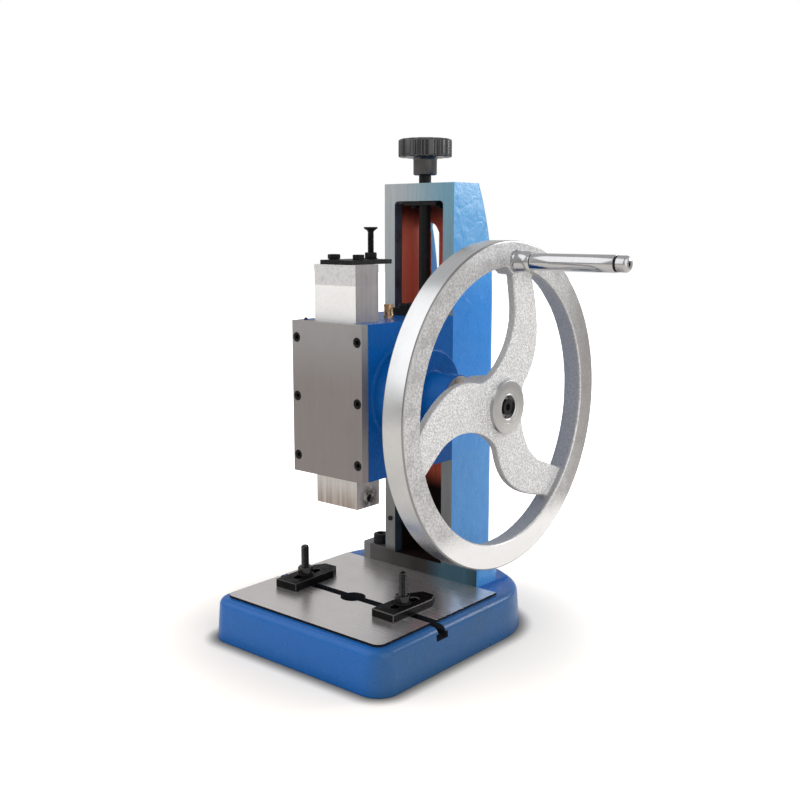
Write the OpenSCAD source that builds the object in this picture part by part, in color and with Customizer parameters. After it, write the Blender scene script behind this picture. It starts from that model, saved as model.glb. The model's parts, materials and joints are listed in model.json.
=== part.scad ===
// Bench hand press: cast base with a T-slot table, channel column, sliding head with rack ram,
// large handwheel on the pinion shaft and a screw that raises the head.
// Millimetres. X to the wheel side, Y to the column, Z up, origin under the middle of the base.

/* [Base] */
// Width of the base casting
base_w = 220; // [200:1:240]
// Depth of the base casting
base_d = 255; // [250:1:275]
// Height of the machined table
table_z = 43; // [42:0.5:50]
// Height of the painted rim round the table
rim_z = 40.5; // [39:0.5:41.5]
// Corner radius of the base at the front
base_front_r = 21; // [12:1:30]
// Corner radius of the base at the back
base_rear_r = 73; // [50:1:80]
// Half width of the machined table
table_hw = 97.5; // [92:0.5:99]
// Radius of the machined table's front corners
table_r = 8; // [2:0.5:12]
// Depth of the machined table from its front edge to the column
table_d = 170.5; // [165:0.5:172]
// Radius of the through hole in the middle of the table
die_hole_r = 12; // [8:0.5:14]

/* [T slot] */
// Width of the slot's neck
slot_neck_w = 10; // [9:0.1:11]
// Width of the slot's wide part
slot_tee_w = 16; // [16:0.5:18]
// Height of the slot's wide part
slot_tee_h = 6; // [6:0.25:7]
// Depth of the neck
slot_neck_h = 8; // [7:0.25:9]

/* [Column] */
// Width of the column
column_w = 86; // [84:1:90]
// Depth of the column at its foot
column_d = 70; // [68:1:72]
// Depth of the column at its top
column_top_d = 45; // [43:1:50]
// Height of the column's top above the floor
column_top_z = 431; // [425:1:445]
// Width of the front slot between the rails
guide_w = 60; // [58:0.5:61]
// Thickness of the rails behind the front face
rail_t = 11; // [9:0.5:12]
// Thickness of the cross member over the slot
crown_t = 16.8; // [15:0.1:20]
// Radius of the foot's rear corners
foot_ear_r = 20; // [18:1:21]
// Radius of the foot's front corners
foot_front_r = 4; // [2:0.5:12]
// Height of the foot flange
foot_t = 17; // [14:1:20]

/* [Head] */
// Height of the head's underside above the floor
head_z = 166; // [150:1:190]
// Height of the head
head_h = 140; // [136:1:144]
// Thickness of the front cover plate
plate_t = 8; // [6:0.5:9]
// Length of the bearing nose beside the big boss
nose_l = 30; // [20:1:32]
// Radius of the big round boss
boss_r = 43; // [38:1:44]
// Radius of the bearing nose
nose_r = 22.5; // [21:0.5:26]

/* [Ram] */
// Width of the ram
ram_w = 50.8; // [50:0.1:51.5]
// Depth of the ram
ram_d = 30; // [28:0.5:30]
// Length of the ram
ram_l = 220; // [210:1:235]
// Height of the ram's lower end above the floor at rest
ram_z = 136.6; // [130:0.1:145]
// Radius of the tool hole in the ram's lower end
tool_r = 8; // [6:0.5:10]
// Depth of the tool hole
tool_depth = 34; // [25:1:40]

/* [Rack and pinion] */
// Gear module of the rack and pinion
gear_m = 2; // [2:1:2]
// Teeth on the pinion
pinion_teeth = 14; // [14:1:14]
// Height of the pinion's axis above the floor at rest
pinion_z = 240.5; // [236:0.5:244]
// Width of the pinion
pinion_w = 24; // [20:1:25]

/* [Handwheel] */
// Outer radius of the rim
wheel_r = 138.4; // [130:0.1:140]
// Inner radius of the rim on its outer face
rim_inner_r = 116.5; // [114:0.5:118]
// Width of the rim
rim_w = 20.6; // [18:0.1:24]
// Distance of the rim's inner side from the middle of the press
wheel_x = 137.7; // [134:0.1:141]
// Thickness of the spokes
spoke_t = 7.5; // [6:0.5:10]
// Radius of the hub's outer end
hub_r = 22.9; // [21:0.1:25]

/* [Handle] */
// Distance of the handle's axis from the wheel's axis
handle_arm = 121.5; // [120:0.1:122]
// Outer radius of the turning sleeve
sleeve_r = 7; // [6.5:0.1:9]
// Length of the turning sleeve
sleeve_l = 76.5; // [70:0.5:90]

/* [Elevating screw] */
// Distance of the screw's axis behind the column's front face
screw_back = 10; // [9:0.5:12]
// Radius of the screw
screw_r = 5.9; // [5.5:0.1:6]
// Radius of the star knob
knob_r = 25.7; // [22:0.1:28]
// Height of the knob's rim
knob_h = 17.8; // [15:0.1:20]
// Number of flutes round the knob
knob_flutes = 14; // [10:1:16]

/* [Clamps] */
// Place of the left clamp stud along the slot
clamp_left_x = -64; // [-75:1:-40]
// Place of the right clamp stud along the slot
clamp_right_x = 61.5; // [40:0.5:75]
// Turn of the left strap
strap_left_turn = 2; // [-6:1:6]
// Turn of the right strap
strap_right_turn = -1; // [-6:1:6]
// Width of a clamp strap
strap_w = 26.5; // [22:0.5:28]
// Thickness of a clamp strap
strap_t = 8; // [6:0.5:10]

/* [Hidden] */
$fn = 96;
// Small overlap of joined shapes and overshoot of cuts
eps = 0.1;
over = 1;
// Play of a fixed seat, of a running fit, of a slide and of a free passage
press = 0.02;
fit = 0.05;
slide_gap = 0.1;
pass = 0.3;

// The column's front face, the ram's middle and the pinion's axis measured from the origin
front_y = -base_d / 2;
column_y = front_y + 182;
ram_y = column_y - 117.2 + ram_d / 2;
ram_rear_y = ram_y + ram_d / 2;
pitch_r = gear_m * pinion_teeth / 2;
pinion_y = ram_rear_y - 0.1 + pitch_r;
slot_y = front_y + 85.5;
screw_y = column_y + screw_back;
// The tool stands as near the ram's middle as its shank passes through the die hole below
tool_y = slot_y - 3.7;
table_front_y = front_y + 12.3;
head_top = head_z + head_h;
ram_top = ram_z + ram_l;
plate_front_y = column_y - 129.2;
plate_rear_y = plate_front_y + plate_t;
tee_top = table_z - slot_neck_h;
tee_bottom = tee_top - slot_tee_h;

// Screw sizes: radius of the thread, of the head and of a hexagon, height of the head
m5_r = 2.5;
m5_head_r = 4.25;
m5_head_h = 5;
low_head_h = 3;
m6_r = 3;
m6_head_r = 5;
m6_head_h = 6;
m6_flat_head_h = 4;
m6_hex_r = 5.75;
m6_nut_h = 5;
m8_r = 4;
m8_head_r = 6.5;
m8_head_h = 5;
m8_hex_r = 7.5;
m8_socket_r = 3.4;
m10_r = 5;
m10_head_r = 8;
m10_head_h = 10;
// Radius of the sockets in grub screws and the share of a thread's radius that a socket takes
grub_socket_r = 1.3;
socket_share = 0.9;

// Base
rim_round = 7;
rim_mid = rim_round * (1 - cos(45));
base_draft = 2.5;
layer_t = 0.05;
pad_sink = 5;
floor_wall = 15;
pocket_top = 27;
front_pocket_y = [front_y + floor_wall - 1, slot_y - 22];
rear_pocket_y = [slot_y + 22, column_y - 7];
rib_hw = 10;
seat_hw = 76;
seat_sink = 5;

// Column
rail_hw = guide_w / 2;
cavity_hw = 35;
cavity_depth = 58.5;
cavity_top_depth = 36;
slot_bottom = table_z + 14.6;
slot_top = column_top_z - crown_t;
column_rear_r = 9;
slot_corner_r = 4;
taper_z = column_top_z - 111;
cavity_bend_z = column_top_z - 47;
foot_hw = 75.5;
ear_y = column_y + 25.5;
foot_bolts = [for (x = [-58, 58], y = [column_y + 10.5, column_y + 33.5]) [x, y]];
foot_bolt_l = 36;
foot_hole_d = 24;
foot_hole_gap = 0.5;
pin_x = -36;
pin_z = table_z + 49.6;
pin_l = 9;
pin_out = 1.5;
window_w = 10;
window_x = 25.5;
window_y = [column_y + cavity_top_depth, column_y + column_d + over];
window_z = [180, 389];

// Head
head_hw = 43;
guide_tongue_hw = rail_hw - slide_gap;
tongue_rear = column_y + rail_t + slide_gap;
nut_boss_hw = 14;
nut_boss_rear = screw_y + 15.5;
gib_t = 5.4;
gib_x = [-ram_w / 2 - gib_t - slide_gap, -ram_w / 2 - fit];
gib_end = 0.5;
gib_screw_out = 8;
ram_room_x = ram_w / 2 + slide_gap;
rack_room = 3.2;
boss_end = 76.7;
nose_end = boss_end + nose_l;
shaft_seat_r = 17;
pinion_room_x = -14.2;
left_seat_r = 12.5;
left_seat_x = -10;
plate_screws = [for (x = [-37.2, 37.2], z = [head_z + 15.5, head_z + 70.8, head_z + 124.8]) [x, z]];
gib_screw_z = [head_z + 30, head_z + 70, head_z + 110];
keeper_screws = [for (x = [-23, 23], z = [head_z + 24, head_z + 70, head_z + 116]) [x, z]];
keeper_t = 10;
keeper_x = [15, 34];
keeper_end = 10;
keeper_hole_d = 12;
plate_hole_d = 13;
plate_hw = 42.8;
plate_gap = 0.2;
plate_sink = 5.4;
plate_screw_l = 14;
screw_passage = 0.6;
lead_nut_r = 9;
lead_nut_neck_r = 7.5;
lead_nut_l = 20;
oiler_pos = [9, column_y - 54.5];
oil_r = 1.5;
oil_z = pinion_z + 6;
oiler_stem_r = 3;
oiler_hex = [4.9, 2.5];
oiler_body = [4.3, 10.5];
oiler_cap = [4.6, 12.6];
corner_pos = [-37, plate_rear_y + 4];
corner_oiler_r = 2;
corner_ball_r = 1.6;
lift_bar_y = [column_y - 29, column_y + 23.5];
lift_bar_t = 7;
lift_bar_hw = 10;
lift_screw_y = [column_y - 22, column_y - 8];
lift_screw_l = 12;

// Ram
rack_w = 26;
rack_back = 10.1;
rack_up = 1.5;
rack_down = 2.3;
tooth_play = 0.06;
rack_z = [pinion_z - 52, pinion_z + 68];
rack_screw_z = [pinion_z - 40, pinion_z + 56];
stop_plate_hw = 19;
stop_plate_t = 4;
stop_plate_y = [ram_y - 13.8, ram_y + 40.7];
stop_bolt_x = 15;
stop_screw_y = ram_y + 33.2;
stop_plate_top = ram_top + stop_plate_t;
stop_bolt_d = 16;
stop_bolt_head = [0.9, 4.8];
stop_washer_r = 6;
stop_screw_z = [ram_top - 6, ram_top + 29.6, ram_top + 32, ram_top + 33];
stop_head_r = 6.4;
stop_socket_r = 2;
lock_nut_h = [1.2, 6];
lock_washer_r = 6.2;
tool_screw_z = ram_z + 8;
tool_screw_x = [tool_r + 5.4, ram_w / 2 - 2];
tool_socket_r = 2;
rack_head_y = ram_y - ram_d / 2 + 6;
rack_thread_l = 6;

// Drive
shaft_r = 12;
shaft_collar_l = 4;
journal_r = 10;
journal_x = -34.3;
left_washer_r = 12;
left_washer_t = 3.3;
wheel_seat_r = 9;
outer_bush_l = 32;
inner_bush_l = 20;
left_bush_x = [-34, -14.4];
hub_x = [118, wheel_x + 21];
hub_flare = 5;
hub_recess = 8;
hub_hole_d = 22;
hub_washer_r = 9.7;
hub_washer_t = 2;
key_hw = 3;
key_x = [hub_x[0] + 3, hub_x[0] + 30];
key_z = [pinion_z + wheel_seat_r - 3.5, pinion_z + wheel_seat_r + 2.5];
rim_face_x = wheel_x + rim_w;
rim_edge = 1.2;
rim_back = 4.2;
spoke_x = wheel_x + 5.8;
handle_dy = 8.5;
handle_y = pinion_y + handle_dy;
handle_z = pinion_z + sqrt(handle_arm * handle_arm - handle_dy * handle_dy);
collar_l = 15.2;
sleeve_x = rim_face_x + collar_l + pass;
sleeve_end = sleeve_x + sleeve_l;
handle_boss_r = 11;
collar_r1 = 9;
collar_r2 = 7.4;
spindle_r = 4.5;
ring_x = sleeve_end + pass;
ring_t = 1.4;
ring_r = 6.6;
cap_x = ring_x + ring_t;
cap_l = 9.6;
cap_screw_l = 14;
cap_socket = [2, 4];

// Elevating screw
knob_z = column_top_z + 24.5;
lead_screw_z = [head_z + 34, knob_z + 10];
flute_r = 3.4;
flute_out = 1.2;
knob_grub_z = knob_z - 8;
knob_neck_r = 11.35;
knob_neck_l = 16.8;
screw_bush_r = 9;
collar_r = 8.5;
collar_z = [slot_top + pass, slot_top + 7.5];
retainer_z = slot_top - 4;
retainer_hw = 20;
retainer_y = [column_y + 1.5, column_y + 24.5];
retainer_screw_x = [-15.5, 15.5];
retainer_screw_y = screw_y + 3;
retainer_screw_l = 9;

// Clamps
heel = 27.5;
tip = 37.5;
tip_chamfer = [6, 11];
strap_slot_r = 4.5;
strap_slot_y = [-11, 16];
washer_t = 1.6;
washer_r = 8;
nut_t = 6.8;
stud_top = table_z + 37;
bolt_head_hw = 7.4;

paint_blue = [0.10, 0.36, 0.68];
ground_steel = [0.62, 0.62, 0.60];
bright_steel = [0.78, 0.78, 0.80];
black_steel = [0.08, 0.08, 0.09];
bronze = [0.70, 0.52, 0.28];

// A cylinder along X from x0 to x1 at y, z
module rod_x(r, x0, x1, y, z, sides = 96) {
    translate([x0, y, z])
        rotate([0, 90, 0])
            cylinder(r = r, h = x1 - x0, $fn = sides);
}

// A cylinder along Y from y0 to y1 at x, z
module rod_y(r, y0, y1, x, z, sides = 64) {
    translate([x, y1, z])
        rotate([90, 0, 0])
            cylinder(r = r, h = y1 - y0, $fn = sides);
}

// A cylinder along Z from z0 to z1 at x, y
module rod_z(r, z0, z1, x, y, sides = 64) {
    translate([x, y, z0])
        cylinder(r = r, h = z1 - z0, $fn = sides);
}

// A box between two corners
module block(low, high) {
    translate(low)
        cube(high - low);
}

// A shape drawn in Y and Z, extruded along X from x0
module slab_x(x0, thickness) {
    translate([x0, 0, 0])
        rotate([90, 0, 90])
            linear_extrude(thickness)
                children();
}

// Turns a profile of radius against X round an axis along X at y, z
module turned_x(profile, y, z) {
    translate([0, y, z])
        rotate([0, 90, 0])
            rotate_extrude($fn = 128)
                polygon(profile);
}

// A socket head screw pointing down, with its head's underside at z
module cap_screw_z(x, y, z, r, head_r, head_h, length) {
    difference() {
        union() {
            rod_z(head_r, z, z + head_h, x, y);
            rod_z(r, z - length, z + eps, x, y);
        }
        rod_z(r * socket_share, z + head_h / 2, z + head_h + over, x, y, 6);
    }
}

// A socket head screw pointing along +Y, with its head's underside at y
module cap_screw_y(x, y, z, r, head_r, head_h, length) {
    difference() {
        union() {
            rod_y(head_r, y - head_h, y, x, z);
            rod_y(r, y - eps, y + length, x, z);
        }
        rod_y(r * socket_share, y - head_h - over, y - head_h / 2, x, z, 6);
    }
}

// Outline of the base, drawn in by a margin
module base_outline(margin) {
    hw = base_w / 2 - margin;
    hd = base_d / 2 - margin;
    fr = base_front_r - margin;
    rr = base_rear_r - margin;
    union() {
        translate([-hw + rr, -hd])
            square([2 * (hw - rr), 2 * hd]);
        translate([-hw, -hd + fr])
            square([2 * hw, 2 * hd - fr - rr]);
        translate([-hw + fr, -hd])
            square([2 * (hw - fr), 2 * hd - rr]);
        for (side = [-1, 1]) {
            translate([side * (hw - fr), -hd + fr])
                circle(r = fr, $fn = 48);
            translate([side * (hw - rr), hd - rr])
                circle(r = rr, $fn = 96);
        }
    }
}

// One thin layer of the base's rounded body
module base_layer(margin, z) {
    translate([0, 0, z])
        linear_extrude(layer_t)
            base_outline(margin);
}

module t_slot(x0, x1) {
    block([x0, slot_y - slot_neck_w / 2, tee_top - eps], [x1, slot_y + slot_neck_w / 2, table_z + over]);
    block([x0, slot_y - slot_tee_w / 2, tee_bottom], [x1, slot_y + slot_tee_w / 2, tee_top]);
}

// Two hollows under the base, left and right of its middle rib
module pocket(y_range) {
    intersection() {
        translate([0, 0, -over])
            linear_extrude(pocket_top + over)
                base_outline(floor_wall);
        union() {
            block([-base_w, y_range[0], -2 * over], [-rib_hw, y_range[1], pocket_top + over]);
            block([rib_hw, y_range[0], -2 * over], [base_w, y_range[1], pocket_top + over]);
        }
    }
}

module table_plan() {
    translate([-table_hw, table_front_y + table_r])
        square([2 * table_hw, table_d - table_r]);
    translate([-table_hw + table_r, table_front_y])
        square([2 * (table_hw - table_r), table_d]);
    for (side = [-1, 1])
        translate([side * (table_hw - table_r), table_front_y + table_r])
            circle(r = table_r, $fn = 48);
}

module base_casting() {
    color(paint_blue)
        difference() {
            union() {
                hull() {
                    base_layer(0, 0);
                    base_layer(base_draft, rim_z - rim_round);
                    base_layer(base_draft + rim_mid, rim_z - rim_mid);
                    base_layer(base_draft + rim_round, rim_z - layer_t);
                }
                translate([0, 0, rim_z - pad_sink])
                    linear_extrude(table_z - rim_z + pad_sink)
                        table_plan();
                intersection() {
                    translate([0, 0, rim_z - pad_sink])
                        linear_extrude(table_z - rim_z + pad_sink)
                            base_outline(base_draft + rim_round + over);
                    block([-seat_hw, column_y - seat_sink, rim_z - pad_sink], [seat_hw, base_d, table_z]);
                }
            }
            t_slot(-base_w, base_w);
            rod_z(die_hole_r, -over, table_z + over, 0, slot_y);
            pocket(front_pocket_y);
            pocket(rear_pocket_y);
            for (p = foot_bolts)
                rod_z(m10_r + fit, table_z - foot_hole_d, table_z + over, p[0], p[1]);
        }
}

// Side view of the column: straight back below, drawn in by an arc towards the top
function column_back(n) =
    let (dy = column_d - column_top_d, dz = column_top_z - taper_z, r = (dy * dy + dz * dz) / (2 * dy))
    [for (i = [0:n]) let (z = dz * i / n) [column_y + column_d - r + sqrt(r * r - z * z), taper_z + z]];

module column_outline() {
    polygon(concat(
        [[column_y, column_top_z], [column_y, table_z], [column_y + column_d, table_z]],
        column_back(12)));
}

module column_plan() {
    hw = column_w / 2;
    union() {
        translate([-hw, column_y])
            square([column_w, column_d - column_rear_r]);
        translate([-hw + column_rear_r, column_y])
            square([column_w - 2 * column_rear_r, column_d]);
        for (side = [-1, 1])
            translate([side * (hw - column_rear_r), column_y + column_d - column_rear_r])
                circle(r = column_rear_r, $fn = 48);
    }
}

module foot_plan() {
    front = column_y + foot_front_r;
    union() {
        for (side = [-1, 1]) {
            translate([side * (foot_hw - foot_front_r), front])
                circle(r = foot_front_r, $fn = 48);
            translate([side * (foot_hw - foot_ear_r), ear_y])
                circle(r = foot_ear_r);
        }
        translate([-foot_hw, front])
            square([2 * foot_hw, ear_y - front]);
        translate([-foot_hw + foot_front_r, column_y])
            square([2 * (foot_hw - foot_front_r), foot_front_r + eps]);
        translate([-foot_hw + foot_ear_r, column_y])
            square([2 * (foot_hw - foot_ear_r), ear_y + foot_ear_r - column_y]);
    }
}

module column() {
    color(paint_blue)
        difference() {
            union() {
                intersection() {
                    slab_x(-column_w / 2, column_w)
                        column_outline();
                    translate([0, 0, table_z])
                        linear_extrude(column_top_z)
                            column_plan();
                }
                translate([0, 0, table_z])
                    linear_extrude(foot_t)
                        foot_plan();
            }
            // front slot with rounded upper corners
            block([-rail_hw, column_y - over, slot_bottom],
                [rail_hw, column_y + rail_t + eps, slot_top - slot_corner_r]);
            block([-rail_hw + slot_corner_r, column_y - over, slot_top - slot_corner_r - over],
                [rail_hw - slot_corner_r, column_y + rail_t + eps, slot_top]);
            for (side = [-1, 1])
                rod_y(slot_corner_r, column_y - over, column_y + rail_t + eps,
                    side * (rail_hw - slot_corner_r), slot_top - slot_corner_r);
            // wider room behind the rails
            slab_x(-cavity_hw, 2 * cavity_hw)
                polygon([[column_y + rail_t, slot_bottom], [column_y + cavity_depth, slot_bottom],
                    [column_y + cavity_depth, cavity_bend_z], [column_y + cavity_top_depth, slot_top],
                    [column_y + rail_t, slot_top]]);
            // two tall windows in the back wall
            for (side = [-1, 1]) {
                block([side * window_x - window_w / 2, window_y[0], window_z[0]],
                    [side * window_x + window_w / 2, window_y[1], window_z[1]]);
                for (z = window_z)
                    rod_y(window_w / 2, window_y[0], window_y[1], side * window_x, z);
            }
            // seat of the screw's bush and room for its collar below
            rod_z(screw_bush_r, slot_top - over, column_top_z + over, 0, screw_y);
            rod_z(collar_r + pass, slot_top - over, collar_z[1] + pass, 0, screw_y);
            for (p = foot_bolts)
                rod_z(m10_r + foot_hole_gap, table_z - over, table_z + foot_t + over, p[0], p[1]);
            for (x = retainer_screw_x)
                rod_z(m5_r + fit, slot_top - over, slot_top + retainer_screw_l + over, x, retainer_screw_y);
            rod_y(m5_r + fit, column_y - over, column_y + rail_t + over, pin_x, pin_z);
        }
}

module column_bolts() {
    color(black_steel)
        for (p = foot_bolts)
            cap_screw_z(p[0], p[1], table_z + foot_t, m10_r, m10_head_r, m10_head_h, foot_bolt_l);
}

module screw_retainer() {
    color(black_steel)
        difference() {
            block([-retainer_hw, retainer_y[0], retainer_z], [retainer_hw, retainer_y[1], slot_top]);
            rod_z(screw_r + pass, retainer_z - over, slot_top + over, 0, screw_y);
            for (x = retainer_screw_x)
                rod_z(m5_r + pass, retainer_z - over, slot_top + over, x, retainer_screw_y);
        }
}

module retainer_screws() {
    color(black_steel)
        for (x = retainer_screw_x)
            difference() {
                union() {
                    rod_z(m5_head_r, retainer_z - low_head_h, retainer_z, x, retainer_screw_y);
                    rod_z(m5_r, retainer_z - eps, slot_top + retainer_screw_l, x, retainer_screw_y);
                }
                rod_z(m5_r * socket_share, retainer_z - low_head_h - over, retainer_z - low_head_h / 2, x,
                    retainer_screw_y, 6);
            }
}

module screw_bush() {
    color(bronze)
        difference() {
            rod_z(screw_bush_r, collar_z[1] + pass, column_top_z, 0, screw_y);
            rod_z(screw_r + fit, slot_top, column_top_z + over, 0, screw_y);
        }
}

module rail_stop_pin() {
    color(black_steel)
        difference() {
            rod_y(m5_r, column_y - pin_out, column_y + pin_l, pin_x, pin_z);
            rod_y(grub_socket_r, column_y - pin_out - over, column_y + pin_out, pin_x, pin_z, 6);
        }
}

module lead_screw() {
    color(black_steel)
        union() {
            rod_z(screw_r, lead_screw_z[0], lead_screw_z[1], 0, screw_y);
            rod_z(collar_r, collar_z[0], collar_z[1], 0, screw_y);
        }
}

module star_knob() {
    color(black_steel)
        difference() {
            union() {
                translate([0, screw_y, knob_z])
                    rotate_extrude($fn = 96)
                        polygon([[0, 0], [knob_r - 1, 0], [knob_r, 1], [knob_r, knob_h - 2.4],
                            [knob_r - 1.4, knob_h - 0.9], [knob_r - 6, knob_h], [0, knob_h]]);
                rod_z(knob_neck_r, knob_z - knob_neck_l, knob_z + eps, 0, screw_y);
            }
            for (i = [0:knob_flutes - 1])
                translate([0, screw_y, knob_z - over])
                    rotate([0, 0, 360 * i / knob_flutes])
                        translate([knob_r + flute_out, 0, 0])
                            cylinder(r = flute_r, h = knob_h + 2 * over, $fn = 32);
            rod_z(screw_r + press, knob_z - knob_neck_l - over, lead_screw_z[1] + pass, 0, screw_y);
            rod_y(m5_r + press, screw_y - knob_neck_r - over, screw_y - screw_r + over, 0, knob_grub_z);
        }
}

module knob_set_screw() {
    color(black_steel)
        difference() {
            rod_y(m5_r, screw_y - knob_neck_r + pass, screw_y - screw_r - slide_gap, 0, knob_grub_z);
            rod_y(grub_socket_r, screw_y - knob_neck_r - over, screw_y - knob_neck_r + m5_r, 0,
                knob_grub_z, 6);
        }
}

module head_casting() {
    color(paint_blue)
        difference() {
            union() {
                block([-head_hw, plate_rear_y, head_z], [head_hw, column_y - slide_gap, head_top]);
                block([-guide_tongue_hw, column_y - over, head_z], [guide_tongue_hw, tongue_rear, head_top]);
                block([-nut_boss_hw, column_y, head_z], [nut_boss_hw, nut_boss_rear, head_top]);
                rod_x(boss_r, head_hw - over, boss_end, pinion_y, pinion_z);
                rod_x(nose_r, boss_end - over, nose_end, pinion_y, pinion_z);
            }
            // ram guide with the gib's room on the left and the rack's relief behind
            block([gib_x[0] - fit, plate_rear_y - over, head_z - over],
                [ram_room_x, ram_rear_y + slide_gap, head_top + over]);
            block([-rack_w / 2 - over, ram_y, head_z - over],
                [rack_w / 2 + over, ram_rear_y + rack_room, head_top + over]);
            // pinion room, shaft seats
            rod_x(shaft_seat_r, pinion_room_x, nose_end + over, pinion_y, pinion_z);
            rod_x(left_seat_r, -head_hw - over, left_seat_x, pinion_y, pinion_z);
            // passage of the elevating screw and seat of its nut
            rod_z(screw_r + screw_passage, head_z - over, head_top + over, 0, screw_y);
            rod_z(lead_nut_r + fit, head_top - lead_nut_l - 2 * over, head_top + over, 0, screw_y);
            for (p = plate_screws)
                rod_y(m5_r + fit, plate_rear_y - over, plate_rear_y + plate_hole_d, p[0], p[1]);
            for (z = gib_screw_z)
                rod_x(m6_r + fit, -head_hw - over, gib_x[0] + over, ram_y, z);
            for (p = keeper_screws)
                rod_y(m6_r + fit, column_y - keeper_hole_d, tongue_rear + over, p[0], p[1]);
            for (y = lift_screw_y)
                rod_z(m6_r + fit, head_top - lift_screw_l - 2 * over, head_top + over, 0, y);
            rod_z(oiler_stem_r + fit, head_top - 2 * oiler_stem_r - over, head_top + over, oiler_pos[0],
                oiler_pos[1]);
            rod_z(oil_r, oil_z - oil_r, head_top, oiler_pos[0], oiler_pos[1]);
            rod_y(oil_r, pinion_y + journal_r, oiler_pos[1], oiler_pos[0], oil_z);
            rod_z(corner_oiler_r + fit, head_top - 3 * corner_oiler_r, head_top + over, corner_pos[0],
                corner_pos[1]);
        }
}

module cover_plate() {
    color(ground_steel)
        difference() {
            block([-plate_hw, plate_front_y, head_z + plate_gap], [plate_hw, plate_rear_y, head_top]);
            for (p = plate_screws) {
                rod_y(m5_head_r + pass, plate_front_y - over, plate_front_y + plate_sink, p[0], p[1]);
                rod_y(m5_r + pass, plate_front_y, plate_rear_y + over, p[0], p[1]);
            }
        }
}

module cover_screws() {
    color(black_steel)
        for (p = plate_screws)
            cap_screw_y(p[0], plate_front_y + plate_sink, p[1], m5_r, m5_head_r, m5_head_h, plate_screw_l);
}

module ram_gib() {
    color(bronze)
        block([gib_x[0], ram_y - ram_d / 2 + gib_end, head_z + gib_end],
            [gib_x[1], ram_rear_y - gib_end, head_top - gib_end]);
}

module gib_screws() {
    color(black_steel)
        for (z = gib_screw_z)
            difference() {
                rod_x(m6_r, -head_hw - gib_screw_out, gib_x[0], ram_y, z);
                rod_x(grub_socket_r, -head_hw - gib_screw_out - over, -head_hw - m6_nut_h, ram_y, z, 6);
            }
}

module gib_lock_nuts() {
    color(black_steel)
        for (z = gib_screw_z)
            difference() {
                rod_x(m6_hex_r, -head_hw - m6_nut_h, -head_hw, ram_y, z, 6);
                rod_x(m6_r + press, -head_hw - m6_nut_h - over, -head_hw + over, ram_y, z);
            }
}

module keeper_strips() {
    color(ground_steel)
        for (side = [-1, 1])
            difference() {
                block([side > 0 ? keeper_x[0] : -keeper_x[1], tongue_rear, head_z + keeper_end],
                    [side > 0 ? keeper_x[1] : -keeper_x[0], tongue_rear + keeper_t, head_top - keeper_end]);
                for (p = keeper_screws)
                    rod_y(m6_r + pass, column_y, nut_boss_rear, p[0], p[1]);
            }
}

module keeper_screws() {
    rear = tongue_rear + keeper_t;
    color(black_steel)
        for (p = keeper_screws)
            difference() {
                union() {
                    rod_y(m6_head_r, rear, rear + m6_head_h, p[0], p[1]);
                    rod_y(m6_r, column_y - keeper_hole_d + 2 * over, rear + eps, p[0], p[1]);
                }
                rod_y(m6_r * socket_share, rear + m6_head_h / 2, rear + m6_head_h + over, p[0], p[1], 6);
            }
}

module lift_bar() {
    color(black_steel)
        difference() {
            block([-lift_bar_hw, lift_bar_y[0], head_top],
                [lift_bar_hw, lift_bar_y[1], head_top + lift_bar_t]);
            rod_z(lead_nut_neck_r + press, head_top - over, head_top + lift_bar_t + over, 0, screw_y);
            for (y = lift_screw_y)
                rod_z(m6_r + pass, head_top - over, head_top + lift_bar_t + over, 0, y);
        }
}

module lift_bar_screws() {
    color(bright_steel)
        for (y = lift_screw_y)
            cap_screw_z(0, y, head_top + lift_bar_t, m6_r, m6_head_r, m6_flat_head_h,
                lift_bar_t + lift_screw_l);
}

module lead_nut() {
    color(bronze)
        difference() {
            union() {
                rod_z(lead_nut_r, head_top - lead_nut_l, head_top, 0, screw_y);
                rod_z(lead_nut_neck_r, head_top - over, head_top + lift_bar_t, 0, screw_y);
            }
            rod_z(screw_r + fit, head_top - lead_nut_l - over, head_top + lift_bar_t + over, 0, screw_y);
        }
}

module oil_cup() {
    color(bronze)
        union() {
            rod_z(oiler_stem_r, head_top - 2 * oiler_stem_r, head_top + eps, oiler_pos[0], oiler_pos[1]);
            rod_z(oiler_hex[0], head_top, head_top + oiler_hex[1] + eps, oiler_pos[0], oiler_pos[1], 6);
            rod_z(oiler_body[0], head_top + oiler_hex[1], head_top + oiler_body[1], oiler_pos[0],
                oiler_pos[1]);
            rod_z(oiler_cap[0], head_top + oiler_body[1] - eps, head_top + oiler_cap[1], oiler_pos[0],
                oiler_pos[1]);
        }
}

module corner_oiler() {
    color(black_steel)
        union() {
            rod_z(corner_oiler_r, head_top - 3 * corner_oiler_r + over, head_top + corner_oiler_r / 4,
                corner_pos[0], corner_pos[1]);
            translate([corner_pos[0], corner_pos[1], head_top + corner_oiler_r / 4])
                sphere(r = corner_ball_r, $fn = 32);
        }
}

// A plain bush along X
module bush_x(r_out, r_in, x0, x1) {
    color(bronze)
        difference() {
            rod_x(r_out, x0, x1, pinion_y, pinion_z);
            rod_x(r_in, x0 - over, x1 + over, pinion_y, pinion_z);
        }
}

module outer_bush() {
    bush_x(shaft_seat_r, shaft_r + fit, nose_end - outer_bush_l, nose_end);
}

// It starts beyond the ram's guide, which the pinion room opens into
module inner_bush() {
    bush_x(shaft_seat_r, shaft_r + fit, ram_room_x + pass, ram_room_x + pass + inner_bush_l);
}

module left_bush() {
    bush_x(left_seat_r, journal_r + fit, left_bush_x[0], left_bush_x[1]);
}

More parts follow.
